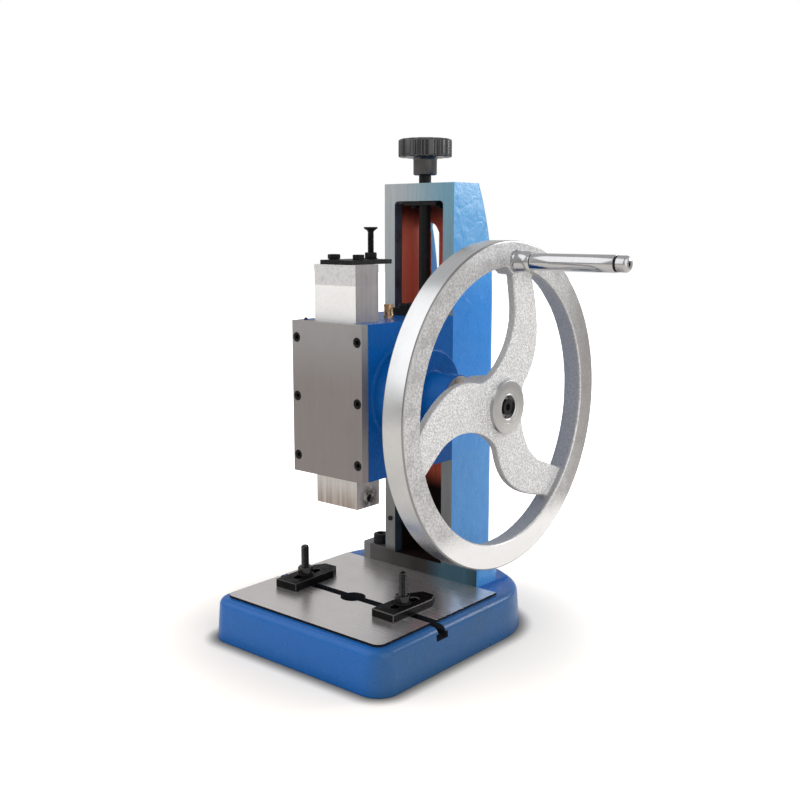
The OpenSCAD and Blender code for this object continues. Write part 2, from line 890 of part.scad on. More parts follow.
module ram() {
    color(ground_steel)
        difference() {
            block([-ram_w / 2, ram_y - ram_d / 2, ram_z], [ram_w / 2, ram_rear_y, ram_top]);
            rod_z(tool_r, ram_z - over, ram_z + tool_depth, 0, tool_y);
            rod_x(m8_r + fit, tool_r - 2, ram_w / 2 + over, tool_y, tool_screw_z);
            block([-rack_w / 2 - press, ram_rear_y - rack_back, rack_z[0] - press],
                [rack_w / 2 + press, ram_rear_y + over, rack_z[1] + press]);
            for (z = rack_screw_z) {
                rod_y(m5_r + pass, ram_y - ram_d, ram_rear_y, 0, z);
                rod_y(m5_head_r + pass, ram_y - ram_d, rack_head_y, 0, z);
            }
            for (side = [-1, 1])
                rod_z(m6_r + fit, ram_top - stop_bolt_d - 2 * over, ram_top + over, side * stop_bolt_x,
                    ram_y);
        }
}

// Rack outline in Y and Z: straight teeth on the pitch line behind the ram
function rack_teeth() =
    let (p = PI * gear_m, slope = tan(20), y = pinion_y - pitch_r,
        tip_h = p / 4 - tooth_play - rack_up * slope, root_h = p / 4 - tooth_play + rack_down * slope,
        first = floor((rack_z[0] + 2 - pinion_z - p / 2) / p) + 1,
        last = floor((rack_z[1] - 2 - pinion_z - p / 2) / p))
    [for (k = [first:last]) let (z = pinion_z + p / 2 + k * p)
        for (q = [[y - rack_down, z - root_h], [y + rack_up, z - tip_h], [y + rack_up, z + tip_h],
            [y - rack_down, z + root_h]]) q];

module rack() {
    back = ram_rear_y - rack_back;
    root = pinion_y - pitch_r - rack_down;
    color(ground_steel)
        difference() {
            slab_x(-rack_w / 2, rack_w)
                polygon(concat([[back, rack_z[1]], [back, rack_z[0]], [root, rack_z[0]]], rack_teeth(),
                    [[root, rack_z[1]]]));
            for (z = rack_screw_z)
                rod_y(m5_r + press, back - over, back + rack_thread_l + over, 0, z);
        }
}

module rack_screws() {
    length = ram_rear_y - rack_back + rack_thread_l - rack_head_y;
    color(black_steel)
        for (z = rack_screw_z)
            cap_screw_y(0, rack_head_y, z, m5_r, m5_head_r, m5_head_h, length);
}

module tool_set_screw() {
    color(black_steel)
        difference() {
            rod_x(m8_r, tool_screw_x[0], tool_screw_x[1], tool_y, tool_screw_z);
            rod_x(tool_socket_r, tool_screw_x[1] - m8_r, tool_screw_x[1] + over, tool_y, tool_screw_z, 6);
        }
}

module stop_plate() {
    color(black_steel)
        difference() {
            block([-stop_plate_hw, stop_plate_y[0], ram_top],
                [stop_plate_hw, stop_plate_y[1], stop_plate_top]);
            for (side = [-1, 1])
                rod_z(m6_r + pass, ram_top - over, stop_plate_top + over, side * stop_bolt_x, ram_y);
            rod_z(m6_r + fit, ram_top - over, stop_plate_top + over, 0, stop_screw_y);
        }
}

module stop_bolts() {
    color(black_steel)
        for (side = [-1, 1]) {
            rod_z(m6_hex_r, stop_plate_top + stop_bolt_head[0] - eps, stop_plate_top + stop_bolt_head[1],
                side * stop_bolt_x, ram_y, 6);
            rod_z(stop_washer_r, stop_plate_top, stop_plate_top + stop_bolt_head[0], side * stop_bolt_x,
                ram_y);
            rod_z(m6_r, ram_top - stop_bolt_d, stop_plate_top + eps, side * stop_bolt_x, ram_y);
        }
}

module stop_lock_nut() {
    color(black_steel)
        difference() {
            union() {
                rod_z(lock_washer_r, stop_plate_top, stop_plate_top + lock_nut_h[0], 0, stop_screw_y);
                rod_z(m6_hex_r, stop_plate_top + lock_nut_h[0] - eps, stop_plate_top + lock_nut_h[1], 0,
                    stop_screw_y, 6);
            }
            rod_z(m6_r + fit, stop_plate_top - over, stop_plate_top + lock_nut_h[1] + over, 0, stop_screw_y);
        }
}

module stop_screw() {
    color(black_steel)
        difference() {
            union() {
                rod_z(m6_r, stop_screw_z[0], stop_screw_z[1] + over, 0, stop_screw_y);
                translate([0, stop_screw_y, stop_screw_z[1]])
                    cylinder(r1 = m6_r, r2 = stop_head_r, h = stop_screw_z[2] - stop_screw_z[1], $fn = 64);
                rod_z(stop_head_r, stop_screw_z[2], stop_screw_z[3], 0, stop_screw_y);
            }
            rod_z(stop_socket_r, stop_screw_z[3] - m6_r, stop_screw_z[3] + over, 0, stop_screw_y, 6);
        }
}

// Involute pinion outline round its own centre, with a tooth pointing to -Y
function polar(r, a) = [r * cos(a), r * sin(a)];
function inv_angle(r, rb) = r <= rb ? 0 : let (a = acos(rb / r)) tan(a) * 180 / PI - a;
function pinion_outline() =
    let (rb = pitch_r * cos(20), ra = pitch_r + gear_m, rr = pitch_r - rack_down + slide_gap, n = 5,
        half = 90 / pinion_teeth + inv_angle(pitch_r, rb) - tooth_play / pitch_r * 180 / PI,
        radii = [for (i = [0:n]) rb + (ra - rb) * i / n])
    [for (k = [0:pinion_teeth - 1]) let (c = 180 + 360 * k / pinion_teeth)
        for (q = concat(
            [polar(rr, c - half)],
            [for (r = radii) polar(r, c - half + inv_angle(r, rb))],
            [for (i = [n:-1:0]) polar(radii[i], c + half - inv_angle(radii[i], rb))],
            [polar(rr, c + half)])) q];

module pinion_shaft() {
    recess_x = hub_x[1] - hub_recess;
    color(bright_steel)
        difference() {
            union() {
                slab_x(-pinion_w / 2, pinion_w)
                    translate([pinion_y, pinion_z])
                        polygon(pinion_outline());
                rod_x(journal_r, journal_x, 0, pinion_y, pinion_z);
                rod_x(shaft_r, 0, nose_end + shaft_collar_l, pinion_y, pinion_z);
                rod_x(wheel_seat_r, nose_end, recess_x - pass, pinion_y, pinion_z);
            }
            rod_x(m8_r + fit, journal_x - over, left_bush_x[1], pinion_y, pinion_z);
            rod_x(m8_r + fit, recess_x - hub_hole_d, recess_x, pinion_y, pinion_z);
            block([key_x[0], pinion_y - key_hw, key_z[0]], [key_x[1], pinion_y + key_hw, key_z[1] + over]);
        }
}

module shaft_washer() {
    color(ground_steel)
        difference() {
            rod_x(left_washer_r, journal_x - left_washer_t, journal_x, pinion_y, pinion_z);
            rod_x(m8_r + pass, journal_x - left_washer_t - over, journal_x + over, pinion_y, pinion_z);
        }
}

module shaft_screw() {
    seat = journal_x - left_washer_t;
    color(black_steel)
        difference() {
            union() {
                rod_x(m8_head_r, seat - m8_head_h, seat, pinion_y, pinion_z);
                rod_x(m8_r, seat - eps, left_bush_x[1] - 2 * over, pinion_y, pinion_z);
            }
            rod_x(m8_socket_r, seat - m8_head_h - over, seat - m8_head_h / 2, pinion_y, pinion_z, 6);
        }
}

// Cubic curve through its end points a and d
function curve(a, b, c, d, n) = [for (i = [0:n]) let (t = i / n, s = 1 - t)
    s * s * s * a + 3 * s * s * t * b + 3 * s * t * t * c + t * t * t * d];

// One opening between two spokes, in Y and Z from the wheel's centre
function window_outline() = concat(
    curve([41.5, 113.3], [61, 63], [57, 37], [35, 15], 12),
    curve([35, 15], [25, 2], [31, -44], [64, -58], 12),
    [[100, -71], [140, -74], [150, 0], [120, 90], [60, 140]]);

module handwheel() {
    color(bright_steel)
        difference() {
            union() {
                turned_x([[rim_inner_r, rim_face_x], [wheel_r - rim_edge, rim_face_x],
                    [wheel_r, rim_face_x - rim_edge], [wheel_r, wheel_x + rim_edge],
                    [wheel_r - rim_edge, wheel_x], [rim_inner_r + rim_back, wheel_x]],
                    pinion_y, pinion_z);
                slab_x(spoke_x, spoke_t)
                    translate([pinion_y, pinion_z])
                        difference() {
                            circle(r = rim_inner_r + rim_back);
                            for (k = [0:2])
                                rotate(120 * k)
                                    polygon(window_outline());
                        }
                turned_x([[0, hub_x[0]], [hub_r, hub_x[0]], [hub_r + hub_flare, spoke_x - 2],
                    [hub_r + hub_flare, spoke_x + spoke_t], [hub_r + 1, spoke_x + spoke_t + 3],
                    [hub_r, hub_x[1]], [0, hub_x[1]]], pinion_y, pinion_z);
                rod_x(handle_boss_r, spoke_x - 2, rim_face_x, handle_y, handle_z);
            }
            rod_x(wheel_seat_r + press, hub_x[0] - over, hub_x[1], pinion_y, pinion_z);
            rod_x(journal_r, hub_x[1] - hub_recess, hub_x[1] + over, pinion_y, pinion_z);
            block([hub_x[0] - over, pinion_y - key_hw, pinion_z],
                [key_x[1] + 2 * over, pinion_y + key_hw, key_z[1] + pass]);
            rod_x(m10_r + press, spoke_x - 2 - over, rim_face_x + over, handle_y, handle_z);
        }
}

module wheel_key() {
    color(ground_steel)
        block([key_x[0] + pass, pinion_y - key_hw + press, key_z[0]],
            [key_x[1] - pass, pinion_y + key_hw - press, key_z[1]]);
}

module hub_washer() {
    seat = hub_x[1] - hub_recess;
    color(ground_steel)
        difference() {
            rod_x(hub_washer_r, seat, seat + hub_washer_t, pinion_y, pinion_z);
            rod_x(m8_r + pass, seat - over, seat + hub_washer_t + over, pinion_y, pinion_z);
        }
}

module hub_screw() {
    seat = hub_x[1] - hub_recess + hub_washer_t;
    color(black_steel)
        difference() {
            union() {
                rod_x(m8_head_r, seat, seat + m8_head_h, pinion_y, pinion_z);
                rod_x(m8_r, seat - hub_hole_d + 2 * over, seat + eps, pinion_y, pinion_z);
            }
            rod_x(m8_socket_r, seat + m8_head_h / 2, seat + m8_head_h + over, pinion_y, pinion_z, 6);
        }
}

module handle_spindle() {
    end = rim_face_x + collar_l;
    color(bright_steel)
        difference() {
            union() {
                rod_x(m10_r, spoke_x - 2, rim_face_x + over, handle_y, handle_z);
                turned_x([[0, rim_face_x], [collar_r1 - 0.8, rim_face_x], [collar_r1, rim_face_x + 1],
                    [collar_r1, end - 3], [collar_r2, end], [0, end]], handle_y, handle_z);
                rod_x(spindle_r, end - over, ring_x, handle_y, handle_z);
            }
            rod_x(m5_r + fit, ring_x - cap_screw_l, ring_x + over, handle_y, handle_z);
        }
}

module handle_sleeve() {
    edge = 0.8;
    color(bright_steel)
        difference() {
            turned_x([[0, sleeve_x], [sleeve_r - edge, sleeve_x], [sleeve_r, sleeve_x + edge],
                [sleeve_r, sleeve_end - edge], [sleeve_r - edge, sleeve_end], [0, sleeve_end]],
                handle_y, handle_z);
            rod_x(spindle_r + fit, sleeve_x - over, sleeve_end + over, handle_y, handle_z);
        }
}

module handle_ring() {
    color(black_steel)
        difference() {
            rod_x(ring_r, ring_x, ring_x + ring_t, handle_y, handle_z);
            rod_x(m5_r + slide_gap, ring_x - over, ring_x + ring_t + over, handle_y, handle_z);
        }
}

module handle_cap() {
    color(bright_steel)
        difference() {
            union() {
                turned_x([[0, cap_x], [ring_r, cap_x], [ring_r, cap_x + cap_l - 2.5],
                    [ring_r - 2, cap_x + cap_l], [0, cap_x + cap_l]], handle_y, handle_z);
                rod_x(m5_r, cap_x - cap_screw_l, cap_x + over, handle_y, handle_z);
            }
            rod_x(cap_socket[0], cap_x + cap_l - cap_socket[1], cap_x + cap_l + over, handle_y, handle_z, 6);
        }
}

module t_bolt(x) {
    color(black_steel)
        union() {
            block([x - bolt_head_hw, slot_y - slot_tee_w / 2 + pass, tee_bottom + pass],
                [x + bolt_head_hw, slot_y + slot_tee_w / 2 - pass, tee_top - pass]);
            rod_z(m8_r, tee_top - over, stud_top, x, slot_y);
            translate([x, slot_y, stud_top - eps])
                cylinder(r1 = m8_r, r2 = m8_r - over, h = over, $fn = 64);
        }
}

module strap(x, turn) {
    z = table_z + slide_gap;
    c = tip_chamfer;
    hw = strap_w / 2;
    color(black_steel)
        translate([x, slot_y, z])
            rotate([0, 0, turn])
                difference() {
                    linear_extrude(strap_t)
                        polygon([[-hw, -heel], [hw, -heel], [hw, tip - c.y], [hw - c.x, tip], [-hw + c.x, tip],
                            [-hw, tip - c.y]]);
                    for (y = strap_slot_y)
                        rod_z(strap_slot_r, -over, strap_t + over, 0, y);
                    block([-strap_slot_r, strap_slot_y[0], -over],
                        [strap_slot_r, strap_slot_y[1], strap_t + over]);
                }
}

module clamp_washer(x) {
    z = table_z + slide_gap + strap_t + press;
    color(black_steel)
        difference() {
            rod_z(washer_r, z, z + washer_t, x, slot_y);
            rod_z(m8_r + fit, z - over, z + washer_t + over, x, slot_y);
        }
}

module clamp_nut(x) {
    z = table_z + slide_gap + strap_t + washer_t + 2 * press;
    color(black_steel)
        difference() {
            rod_z(m8_hex_r, z, z + nut_t, x, slot_y, 6);
            rod_z(m8_r + fit, z - over, z + nut_t + over, x, slot_y);
        }
}

module t_bolt_left() { t_bolt(clamp_left_x); }
module strap_left() { strap(clamp_left_x, strap_left_turn); }
module clamp_washer_left() { clamp_washer(clamp_left_x); }
module clamp_nut_left() { clamp_nut(clamp_left_x); }
module t_bolt_right() { t_bolt(clamp_right_x); }
module strap_right() { strap(clamp_right_x, strap_right_turn); }
module clamp_washer_right() { clamp_washer(clamp_right_x); }
module clamp_nut_right() { clamp_nut(clamp_right_x); }

base_casting();
column();
column_bolts();
screw_retainer();
retainer_screws();
screw_bush();
rail_stop_pin();
lead_screw();
star_knob();
knob_set_screw();
head_casting();
cover_plate();
cover_screws();
ram_gib();
gib_screws();
gib_lock_nuts();
keeper_strips();
keeper_screws();
lift_bar();
lift_bar_screws();
lead_nut();
oil_cup();
corner_oiler();
outer_bush();
inner_bush();
left_bush();
ram();
rack();
rack_screws();
tool_set_screw();
stop_plate();
stop_bolts();
stop_lock_nut();
stop_screw();
pinion_shaft();
shaft_washer();
shaft_screw();
handwheel();
wheel_key();
hub_washer();
hub_screw();
handle_spindle();
handle_sleeve();
handle_ring();
handle_cap();
t_bolt_left();
strap_left();
clamp_washer_left();
clamp_nut_left();
t_bolt_right();
strap_right();
clamp_washer_right();
clamp_nut_right();
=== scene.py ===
"""Bench hand press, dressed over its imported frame.

A cast base with a T-slot table, a channel column, a sliding head with a rack ram, a large handwheel
with a turning handle, and a knob screw that lifts the head. Sizes are in millimetres until a mesh is
written, where they become metres. Places in the finishes are in metres.
"""

import json
import logging
import math
from abc import ABC, abstractmethod
from dataclasses import dataclass, field
from enum import Enum
from typing import Callable, Iterable, Sequence, Union

import bmesh
import bpy
from mathutils import Matrix, Vector


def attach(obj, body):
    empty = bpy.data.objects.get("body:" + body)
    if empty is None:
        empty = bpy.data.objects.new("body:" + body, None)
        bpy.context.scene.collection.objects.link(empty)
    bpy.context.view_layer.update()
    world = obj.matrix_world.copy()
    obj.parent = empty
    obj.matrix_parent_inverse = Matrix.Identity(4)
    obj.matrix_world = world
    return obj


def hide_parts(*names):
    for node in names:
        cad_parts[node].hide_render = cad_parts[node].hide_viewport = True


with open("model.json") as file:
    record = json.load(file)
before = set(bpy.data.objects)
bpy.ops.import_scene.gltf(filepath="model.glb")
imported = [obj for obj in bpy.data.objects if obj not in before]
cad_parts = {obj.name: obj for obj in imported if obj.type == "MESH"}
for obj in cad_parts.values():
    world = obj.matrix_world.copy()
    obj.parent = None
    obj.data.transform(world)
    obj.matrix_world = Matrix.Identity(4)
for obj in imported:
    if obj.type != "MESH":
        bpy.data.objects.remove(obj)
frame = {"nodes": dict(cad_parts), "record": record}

log = logging.getLogger("hand_press")
MM = 0.001
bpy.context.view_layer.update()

Point = tuple[float, float, float]
Flat = tuple[float, float]
Colour = tuple[float, float, float]
Stop = tuple[float, float, Colour]
Socket = bpy.types.NodeSocket
Material = bpy.types.Material
Piece = bpy.types.Object
Radius = Union[float, Callable[[float], float]]
Station = tuple[float, Radius]


class Axis(Enum):
    """The row axis that a turned or extruded shape runs along."""

    X = 0
    Y = 1
    Z = 2

    def place(self, along: float, u: float, v: float) -> Point:
        """Puts a point given along the axis and across it into row order.

        Args:
            along: distance along the axis.
            u: first coordinate across the axis.
            v: second coordinate across the axis.

        Returns:
            The point as x, y, z.
        """
        if self is Axis.X:
            return (along, u, v)
        if self is Axis.Y:
            return (u, along, v)
        return (u, v, along)


class Operation(Enum):
    """What a tool shape does to a piece."""

    CUT = "DIFFERENCE"
    JOIN = "UNION"


# Node trees


def shade(colour: Colour, factor: float) -> Colour:
    """A colour made darker or lighter by a factor."""
    return tuple(min(1.0, factor * c) for c in colour)


class Tree:
    """A node tree under construction."""

    def __init__(self, tree: bpy.types.NodeTree) -> None:
        """Takes a tree and empties it."""
        self.tree = tree
        self.tree.nodes.clear()

    def feed(self, socket: Socket, value: object) -> None:
        """Links a socket to another, or sets its value.

        Args:
            socket: the input that is fed.
            value: an output socket, a number, a vector or a colour.
        """
        if isinstance(value, Socket):
            self.tree.links.new(value, socket)
        elif socket.type == "RGBA":
            socket.default_value = (*value, 1.0) if len(value) == 3 else value
        else:
            socket.default_value = value

    def node(self, kind: str, inputs: dict[Union[int, str], object] | None = None,
             **settings: object) -> bpy.types.Node:
        """Adds a node.

        Args:
            kind: the node's type.
            inputs: values or links by input name or number.
            settings: plain properties.

        Returns:
            The node.
        """
        made = self.tree.nodes.new(kind)
        for key, value in settings.items():
            setattr(made, key, value)
        for key, value in (inputs or {}).items():
            self.feed(made.inputs[key], value)
        return made

    def maths(self, operation: str, first: object, second: object = 0.0) -> Socket:
        """One step of arithmetic on numbers."""
        return self.node("ShaderNodeMath", {0: first, 1: second}, operation=operation).outputs[0]

    def band(self, value: object, low: object, high: object, out_low: float = 0.0,
             out_high: float = 1.0) -> Socket:
        """Maps a value from one range to another, smoothly and clamped."""
        inputs = dict(enumerate((value, low, high, out_low, out_high)))
        return self.node("ShaderNodeMapRange", inputs, interpolation_type="SMOOTHSTEP").outputs[0]


class Graph(Tree):
    """A material's node tree, on object coordinates."""

    def __init__(self, name: str) -> None:
        """Starts an empty material.

        Args:
            name: the material's name.
        """
        self.material = bpy.data.materials.new(name)
        self.material.use_nodes = True
        super().__init__(self.material.node_tree)
        self.coords = self.node("ShaderNodeTexCoord").outputs["Object"]

    def stretched(self, scale: Point) -> Socket:
        """Object coordinates scaled on each axis."""
        return self.node("ShaderNodeVectorMath", {0: self.coords, 1: scale}, operation="MULTIPLY").outputs[0]

    def noise(self, scale: float, detail: float = 3.0, rough: float = 0.55, vector: Socket | None = None,
              warp: float = 0.0) -> Socket:
        """A noise value from 0 to 1.

        Args:
            scale: features per metre.
            detail: the number of finer layers.
            rough: how strong the finer layers are.
            vector: coordinates to use in place of the object's own.
            warp: how far the pattern is twisted.

        Returns:
            The noise.
        """
        inputs = {"Vector": vector or self.coords, "Scale": scale, "Detail": detail, "Roughness": rough,
                  "Distortion": warp}
        return self.node("ShaderNodeTexNoise", inputs).outputs["Fac"]

    def mix(self, factor: object, first: object, second: object, blend: str = "MIX") -> Socket:
        """Mixes two colours by the share of the second."""
        inputs = {0: factor, 6: first, 7: second}
        return self.node("ShaderNodeMix", inputs, data_type="RGBA", blend_type=blend).outputs[2]

    def axis(self, which: Axis) -> Socket:
        """One object coordinate, in metres."""
        return self.node("ShaderNodeSeparateXYZ", {0: self.coords}).outputs[which.value]

    def facing(self, which: Axis) -> Socket:
        """How squarely the surface faces along an axis, from 0 to 1."""
        normal = self.node("ShaderNodeNewGeometry").outputs["Normal"]
        return self.maths("ABSOLUTE", self.node("ShaderNodeSeparateXYZ", {0: normal}).outputs[which.value])

    def steps(self, value: object, first: Colour, *stops: Stop) -> Socket:
        """A colour that changes along a value.

        Args:
            value: the value.
            first: the colour before the first stop.
            stops: for each change, where it begins and ends and the colour after it.

        Returns:
            The colour.
        """
        body = first
        for low, high, colour in stops:
            body = self.mix(self.band(value, low, high), body, colour)
        return body

    def distance_from(self, y: float, z: float) -> Socket:
        """Distance from a line along X, both in metres.

        Args:
            y: the line's y.
            z: the line's z.

        Returns:
            The distance.
        """
        squares = [self.maths("POWER", self.maths("SUBTRACT", self.axis(which), at), 2.0)
                   for which, at in ((Axis.Y, y), (Axis.Z, z))]
        return self.maths("SQRT", self.maths("ADD", *squares))

    def bump(self, height: object, distance: float, strength: float = 1.0,
             under: Socket | None = None) -> Socket:
        """Turns a height into a normal, over another one if given.

        Args:
            height: the height, from 0 to 1.
            distance: what a height of 1 means, in metres.
            strength: how much of it shows.
            under: a normal to build on.

        Returns:
            The normal.
        """
        inputs = {"Height": height, "Distance": distance, "Strength": strength}
        if under is not None:
            inputs["Normal"] = under
        return self.node("ShaderNodeBump", inputs).outputs["Normal"]

    def surface(self, **sockets: object) -> Material:
        """Closes the tree with one principled shader.

        Args:
            sockets: values or links by socket name, with underscores for blanks.

        Returns:
            The finished material.
        """
        inputs = {key.replace("_", " "): value for key, value in sockets.items()}
        shader = self.node("ShaderNodeBsdfPrincipled", inputs)
        self.node("ShaderNodeOutputMaterial", {0: shader.outputs[0]})
        return self.material


# Finishes


class Finish(ABC):
    """A surface finish that makes its material once."""

    _made: dict["Finish", Material] = {}

    @property
    def material(self) -> Material:
        """The finish's material, made on first use.

        Returns:
            The material.
        """
        if self not in Finish._made:
            Finish._made[self] = self.build()
        return Finish._made[self]

    @abstractmethod
    def build(self) -> Material:
        """Builds the node tree."""


@dataclass(frozen=True)
class CastEnamel(Finish):
    """Thick glossy enamel over a cast skin."""

    name: str
    colour: Colour
    lighting_tone: Colour
    ripple: float = 0.25
    grain: float = 0.05
    gloss: float = 0.30
    shine: float = 0.45
    coat: float = 0.25
    lighting_axis: Axis = Axis.Z
    lighting_from: float = 0.0
    lighting_to: float = 1.0
    low: Colour = (0.0, 0.0, 0.0)
    low_z: Flat = (0.0, 0.0)
    dust: Colour = (0.45, 0.62, 0.80)

    def build(self) -> Material:
        """Enamel with soft waves, orange peel, a lighting zone of painted light and shade, and small chips of
        dust.

        Returns:
            The material.
        """
        g = Graph(self.name)
        # The lighting tone is painted light and shade: the colour changes along one axis as the light falls
        # on the piece.
        zone = g.band(g.axis(self.lighting_axis), self.lighting_from, self.lighting_to)
        cloud = g.noise(18.0, 4.0)
        zone = g.maths("MULTIPLY", zone, g.band(cloud, 0.25, 0.75, 0.75, 1.0))
        body = g.mix(zone, self.colour, self.lighting_tone)
        # The low tone, where given, is painted light on the piece's lower part.
        if self.low_z[1] > self.low_z[0]:
            body = g.mix(g.band(g.axis(Axis.Z), *self.low_z, 1.0, 0.0), body, self.low)
        body = g.mix(g.band(g.noise(55.0, 5.0, 0.6), 0.35, 0.8, 0.0, 0.22), body, shade(self.colour, 0.72))
        body = g.mix(g.band(g.noise(420.0, 2.0), 0.68, 0.78, 0.0, 0.20), body, self.dust)
        rough = g.band(g.noise(90.0, 3.0), 0.2, 0.8, self.gloss - 0.07, self.gloss + 0.10)
        wave = g.bump(g.noise(70.0, 2.0, 0.5, warp=0.6), self.ripple * MM * 2.0, 0.7)
        skin = g.bump(g.noise(330.0, 3.0, 0.6), self.grain * MM * 2.0, 0.8, wave)
        return g.surface(Base_Color=body, Roughness=rough, Normal=skin, Specular_IOR_Level=self.shine,
                         Coat_Weight=self.coat, Coat_Roughness=0.12)


@dataclass(frozen=True)
class GroundSteel(Finish):
    """Surface-ground steel with fine straight lines along one axis."""

    name: str
    colour: Colour
    along: Axis
    rough: float = 0.36
    tint: Colour = (0.50, 0.46, 0.43)
    stain_and_shade: float = 0.15
    metal: float = 0.9
    pale: Colour = (0.32, 0.31, 0.312)
    pale_z: Flat = (0.0, 0.0)
    streak: float = 1.0
    fine: float = 2600.0
    drawn: float = 22.0
    speck: Colour = (0.12, 0.09, 0.07)

    def build(self) -> Material:
        """Fine lines in tone, roughness and height, with faint stains.

        Returns:
            The material.
        """
        g = Graph(self.name)
        scale = [self.fine] * 3
        scale[self.along.value] = self.drawn
        lines = g.noise(1.0, 3.0, 0.7, g.stretched(tuple(scale)))
        broad = g.noise(1.0, 2.0, 0.5, g.stretched(tuple(v / 9.0 for v in scale)))
        dark = g.band(lines, 0.25, 0.75, 0.0, 0.5 * self.streak)
        light = g.band(broad, 0.3, 0.7, 0.0, 0.35 * self.streak)
        body = g.mix(light, g.mix(dark, self.colour, shade(self.colour, 0.80)), shade(self.colour, 1.12))
        if self.pale_z[1] > self.pale_z[0]:
            body = g.mix(g.band(g.axis(Axis.Z), *self.pale_z), body, self.pale)
        # The stain_and_shade amount mixes in the tint and the specks: stains on most steel, painted shade on
        # the inner ways.
        body = g.mix(g.band(g.noise(30.0, 4.0), 0.48, 0.78, 0.0, self.stain_and_shade), body, self.tint)
        body = g.mix(g.band(g.noise(260.0, 4.0, 0.7), 0.66, 0.74, 0.0, self.stain_and_shade), body, self.speck)
        rough = g.band(g.maths("ADD", lines, broad), 0.6, 1.4, self.rough - 0.07 * self.streak,
                       self.rough + 0.09 * self.streak)
        return g.surface(Base_Color=body, Metallic=self.metal, Roughness=rough,
                         Normal=g.bump(lines, 0.02 * MM, 0.6 * self.streak))


@dataclass(frozen=True)
class ScrapedSteel(Finish):
    """The ram's ground and hand-scraped faces: pale, mottled above, streaked brown below."""

    name: str
    colour: Colour
    mark_z: float
    low_z: float
    hole: Flat
    stained: float = 45.0 * MM
    side_x: Flat = (24.9 * MM, 25.3 * MM)
    mottled: Colour = (0.52, 0.52, 0.525)
    scraped: Colour = (0.36, 0.36, 0.36)
    stain_and_shade: Colour = (0.28, 0.22, 0.18)
    side_light: Colour = (0.29, 0.268, 0.273)
    side_dark: Colour = (0.235, 0.218, 0.222)
    oil: Colour = (0.03, 0.022, 0.018)

    def build(self) -> Material:
        """Scraping marks over the top, vertical streaks and a stained patch at the lower end.

        Returns:
            The material.
        """
        g = Graph(self.name)
        height = g.axis(Axis.Z)
        upper = g.band(height, self.mark_z - 0.4 * MM, self.mark_z + 0.4 * MM)
        fine = g.noise(900.0, 4.0, 0.8, warp=0.8)
        patches = g.band(g.noise(160.0, 4.0, 0.7, warp=1.2), 0.42, 0.66)
        marks = g.maths("MULTIPLY", g.band(fine, 0.42, 0.58), g.band(patches, 0.0, 1.0, 0.35, 1.0))
        body = g.mix(g.maths("MULTIPLY", upper, 0.55), self.colour, self.mottled)
        body = g.mix(g.maths("MULTIPLY", marks, g.band(upper, 0.0, 1.0, 0.16, 0.75)), body, self.scraped)
        streaks = g.noise(1.0, 4.0, 0.6, g.stretched((260.0, 260.0, 9.0)))
        low = g.band(height, self.low_z, self.low_z + self.stained, 1.0, 0.0)
        # Here the stain_and_shade colour is a brown stain low on the ram.
        body = g.mix(g.maths("MULTIPLY", low, g.band(streaks, 0.3, 0.65, 0.7, 1.0)), body, self.stain_and_shade)
        side = g.band(g.axis(Axis.X), *self.side_x)
        body = g.mix(g.maths("MULTIPLY", side, 0.92), body,
                     g.mix(g.band(streaks, 0.35, 0.65), self.side_light, self.side_dark))
        spot = g.distance_from(*self.hole)
        grime = g.maths("MULTIPLY", g.band(spot, 5.0 * MM, 16.0 * MM, 1.0, 0.0), side)
        grime = g.maths("MULTIPLY", grime, g.band(g.noise(120.0, 4.0, 0.7), 0.36, 0.55))
        body = g.mix(grime, body, self.oil)
        rough = g.band(g.noise(160.0, 4.0), 0.3, 0.7, 0.30, 0.50)
        return g.surface(Base_Color=body, Metallic=0.3, Roughness=rough,
                         Normal=g.bump(marks, 0.03 * MM, 0.5))


@dataclass(frozen=True)
class TurnedSteel(Finish):
    """Bright turned and polished steel with fine rings round an axis along X."""

    name: str
    colour: Colour
    centre: Flat
    rough: float = 0.12
    smear: float = 0.25
    sand: float = 0.0
    metal: float = 1.0
    shaded_y: Flat = (0.0, 0.0)
    pale_z: Flat = (0.0, 0.0)
    grit: Colour = (0.22, 0.22, 0.225)
    blotch: Colour = (0.30, 0.30, 0.305)
    shaded_tone: Colour = (0.24, 0.23, 0.23)
    pale: Colour = (0.86, 0.86, 0.87)

    def build(self) -> Material:
        """Rings by distance from the axis and place along it, with darker, rougher smears, sandy mottling
        and, where set, painted shade to one side and painted light below.

        Returns:
            The material.
        """
        g = Graph(self.name)
        rings = g.node("ShaderNodeCombineXYZ", {0: g.distance_from(*self.centre), 1: g.axis(Axis.X)})
        lines = g.noise(1900.0, 3.0, 0.65, rings.outputs[0])
        cloud = g.noise(16.0, 4.0, 0.6)
        body = g.mix(g.band(lines, 0.3, 0.75, 0.0, 0.35), self.colour, shade(self.colour, 0.72))
        body = g.mix(g.band(cloud, 0.45, 0.75, 0.0, self.smear), body, shade(self.colour, 0.62))
        body = g.mix(g.band(g.noise(480.0, 4.0, 0.8), 0.44, 0.58, 0.0, self.sand), body, self.grit)
        body = g.mix(g.band(g.noise(70.0, 4.0, 0.7), 0.44, 0.66, 0.0, 0.8 * self.sand), body, self.blotch)
        # Painted light and shade: darker towards +Y and paler towards the bottom, as the light falls on the
        # face.
        if self.shaded_y[1] > self.shaded_y[0]:
            body = g.mix(g.band(g.axis(Axis.Y), *self.shaded_y, 0.0, 0.75), body, self.shaded_tone)
            body = g.mix(g.band(g.axis(Axis.Z), *self.pale_z, 0.9, 0.0), body, self.pale)
        rough = g.maths("ADD", g.band(lines, 0.3, 0.7, self.rough - 0.03, self.rough + 0.05),
                        g.band(cloud, 0.4, 0.8, 0.0, 0.14))
        return g.surface(Base_Color=body, Metallic=self.metal, Roughness=rough,
                         Normal=g.bump(lines, 0.008 * MM, 0.5))


